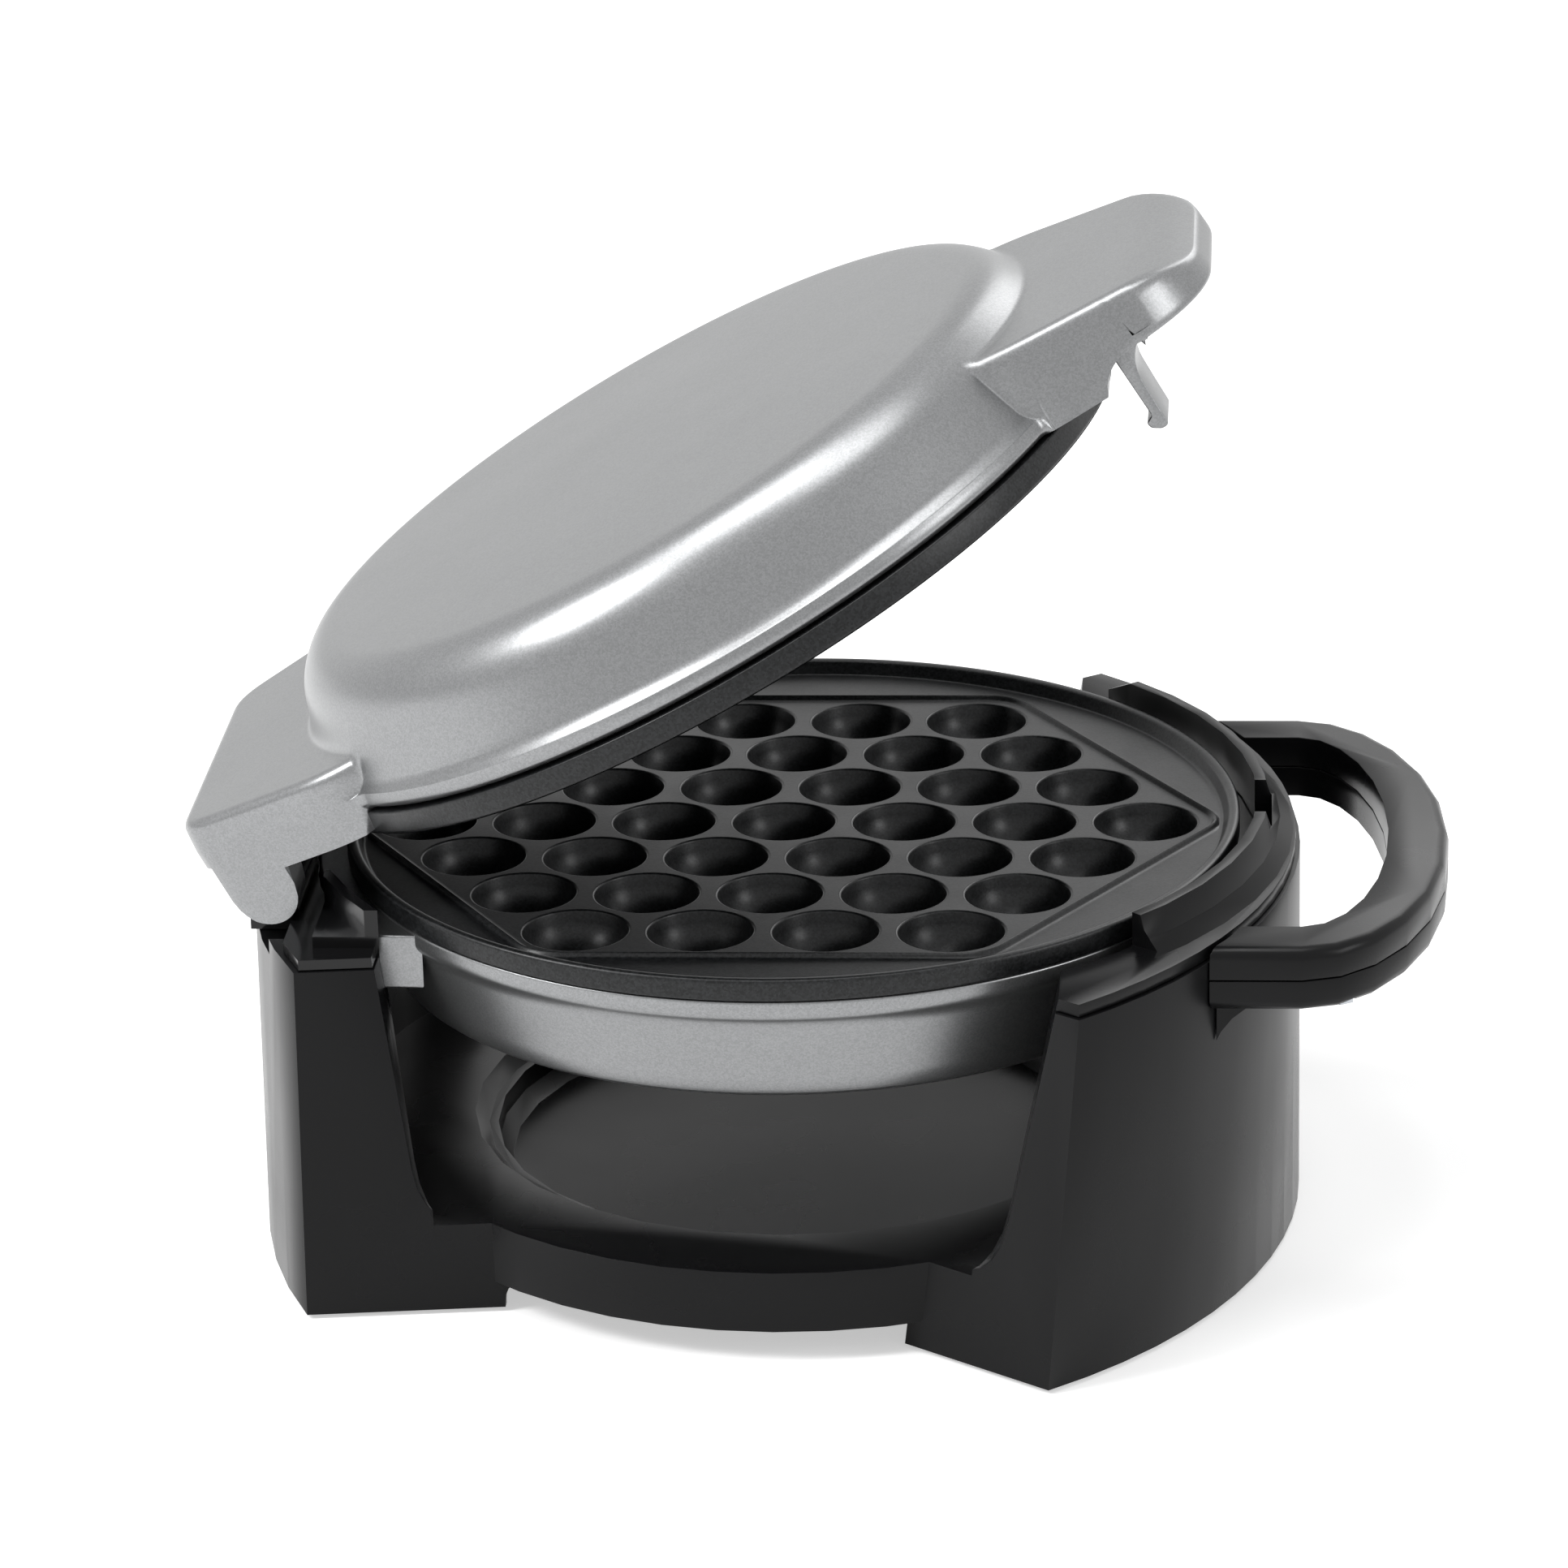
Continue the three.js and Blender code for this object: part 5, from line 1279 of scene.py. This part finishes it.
@dataclass
class LowerBowl:
    """The silver bowl with its rolled lip and the lug in the left upright.

    Attributes:
        corners: The bowl's profile, from its middle outside up over the lip and back inside.
        columns: Points round the bowl.
        lug_radius: Outer radius of the lug.
        lug_inner: Its inner radius, hidden in the bowl's wall.
        lug_half: Half its width.
        lug_heights: Heights of its underside and top.
        lug_edge: Radius of its rounded rims.
    """

    corners: Corners = (
        (0, 58, 0), (82, 58, 3), (87.6, 59.2, 2), (89.7, 62.5, 2.5), (94.5, 78.3, 1.6), (96.5, 80.6, 1.2),
        (96.5, 84, 0.7), (94.6, 84, 0.7), (92.4, 78.8, 1), (87.6, 63.4, 2), (82, 60, 2), (0, 60, 0),
    )
    columns: int = 360
    lug_radius: float = 103.2
    lug_inner: float = 95.4
    lug_half: float = 60.0
    lug_heights: Pair = (71.5, 83.5)
    lug_edge: float = 0.7

    def build(self) -> None:
        """Builds the bowl and its lug."""
        points, faces = skinned(lathe(rounded(self.corners, 7), self.columns))
        make_piece("lower_bowl_fine", points, faces, Body.STAND, SILVER_LACQUER, "lower_bowl")
        self.lug()

    def lug(self) -> None:
        """Builds the lug: a sector of a ring whose outline is carried up with rounded rims."""
        sides = []
        for radius, way in ((self.lug_radius, 1), (self.lug_inner, -1)):
            spread = math.asin(self.lug_half / radius) * way
            turn = np.linspace(math.pi - spread, math.pi + spread, 60)
            sides.append(np.stack([radius * np.cos(turn), radius * np.sin(turn)], 1))
        rings = prism(np.concatenate(sides), *self.lug_heights, self.lug_edge)[..., [0, 2, 1]]
        points, faces = skinned(rings)
        make_piece("lower_bowl_lug", points, faces, Body.STAND, SILVER_LACQUER)


@dataclass
class LatchLever:
    """The lever in the neck of the lid's handle, standing free by a few degrees.

    Attributes:
        pivot_x: Place of its pin along X, with the lid closed.
        pivot_z: Height of its pin.
        eye: Half the width of its upper end, round the pin.
        half_width: Half its width along Y.
        free: Degrees that it stands free of the bowl.
        hook_z: Height of its foot.
        edge: Radius of its rounded sides.
    """

    pivot_x: float = 105.0
    pivot_z: float = 103.0
    eye: float = 3.2
    half_width: float = 8.0
    free: float = 5.0
    hook_z: float = 76.4
    edge: float = 0.3

    def corners(self) -> Corners:
        """Corners of the lever's side: its eye, its inner face down to the hook, and its outer face.

        Returns:
            Places along X, heights and where the curves start, before it swings free.
        """
        x, z, foot, eye = self.pivot_x, self.pivot_z, self.hook_z, self.eye
        return (
            (x - eye, z + eye, 2.4), (98.2, z - 5, 2.4), (97.9, foot + 3.6, 0.6), (96.1, foot + 2.8, 0.5),
            (96.2, foot + 1.4, 0.7), (98.2, foot, 0.5), (99.9, foot, 0.8), (100.2, foot + 6, 2.0),
            (100.8, foot + 15, 3.5), (x + 2.0, z - 5, 2), (x + eye, z + eye, 2.4),
        )

    def build(self) -> None:
        """Builds the lever: a leaf that swells below the neck, with a hooked foot and flat sides."""
        outline = rounded(self.corners(), closed=True)
        rings = prism(outline, -self.half_width, self.half_width, self.edge)
        rows, columns = rings.shape[:2]
        side = np.arange(columns)[None]
        faces = [ring_faces(rows, columns), side[:, ::-1], side + (rows - 1) * columns]
        points = turned(rings.reshape(-1, 3), self.pivot_x, self.pivot_z, self.free)
        make_piece("latch_lever_fine", HINGE.open(points), faces, Body.LATCH, SILVER_LACQUER, "latch_lever")


@dataclass
class RefinedNode:
    """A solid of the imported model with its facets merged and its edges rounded.

    Attributes:
        node: The solid's name.
        body: The body that it rides on.
        finish: Its surface.
        edge: Width of its rounded edges. Zero leaves them as they are.
        segments: Faces across each rounded edge.
        smooth_angle: Edges flatter than this many degrees are shaded smooth.
        flat_angle: Facets that meet at less than this many degrees become one face.
        lift: How far the piece sits above the solid, square to the open lid.
    """

    node: str
    body: Body
    finish: Finish
    edge: float = 0.5
    segments: int = 3
    smooth_angle: float = 32.0
    flat_angle: float = 0.6
    lift: float = 0.0

    def build(self) -> None:
        """Copies the solid, merges its facets, rounds its edges and dresses it."""
        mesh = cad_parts[self.node].data.copy()
        mesh.name = f"{self.node}_fine"
        shape = bmesh.new()
        shape.from_mesh(mesh)
        bmesh.ops.remove_doubles(shape, verts=shape.verts, dist=MERGE_COPY * MM)
        bmesh.ops.dissolve_limit(
            shape, angle_limit=math.radians(self.flat_angle), verts=shape.verts, edges=shape.edges,
            delimit={"NORMAL"},
        )
        tilt = math.radians(HINGE.opening)
        square = Vector((-math.sin(tilt), 0, math.cos(tilt)))
        bmesh.ops.translate(shape, vec=square * self.lift * MM, verts=shape.verts)
        shape.to_mesh(mesh)
        shape.free()
        sharp = None if self.edge else self.smooth_angle
        piece = enter_piece(mesh.name, mesh, self.body, self.finish, self.node, sharp)
        if self.edge:
            bevel = piece.modifiers.new("rounded_edges", "BEVEL")
            bevel.width = self.edge * MM
            bevel.segments = self.segments
            bevel.limit_method = "ANGLE"
            bevel.angle_limit = math.radians(self.smooth_angle)
            bevel.harden_normals = True
            bevel.use_clamp_overlap = True
        LOG.info("%s: %d faces", piece.name, len(mesh.polygons))


def dress_node(node: str, finish: Finish) -> None:
    """Gives a carried-over solid its material.

    Args:
        node: The solid's name.
        finish: Its surface.
    """
    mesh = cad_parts[node].data
    mesh.materials.clear()
    mesh.materials.append(finish.material())


LOWER_PLATE = CastPlate(
    "lower_plate", Body.STAND, radius=97.0, rim_height=3.0, flange=4.7, shoulder=93.0, foot=90.0, plane=86.0,
)
UPPER_PLATE = CastPlate(
    "upper_plate", Body.LID, radius=96.0, rim_height=1.5, flange=5.4, shoulder=91.4, foot=88.5, plane=91.3,
    facing_down=True, rim_width=1.2,
)
# Surfaces of the solids that are carried over as they are, by a word in their names
CARRIED_OVER = {
    "screw": PLATED_STEEL, "latch_pin": PLATED_STEEL, "heater": PLATED_STEEL, "thermostat": PLATED_STEEL,
    "foot": SOFT_RUBBER, "gland": SOFT_RUBBER, "reflector": BRIGHT_SHEET,
}


def main() -> None:
    """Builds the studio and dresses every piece."""
    logging.basicConfig(level=logging.INFO)
    bpy.context.scene.view_settings.view_transform = "Standard"
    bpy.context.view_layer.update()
    Studio().build()
    for node in ("stand_shell", "guard_cover", "loop_handle_upper", "loop_handle_lower", "wiring_cover"):
        RefinedNode(node, Body.STAND, BLACK_PLASTIC, edge=0.7).build()
    RefinedNode("hinge_tower", Body.STAND, GLOSS_PLASTIC, edge=0.0).build()
    LowerBowl().build()
    LOWER_PLATE.build()
    LidShell().build()
    RefinedNode("lid_handle_cover", Body.LID, SILVER_LACQUER, edge=0.4, lift=4.0).build()
    UPPER_PLATE.build()
    LatchLever().build()
    HINGE.pins()
    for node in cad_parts:
        for word, finish in CARRIED_OVER.items():
            if word in node:
                dress_node(node, finish)


if __name__ == "__main__":
    main()
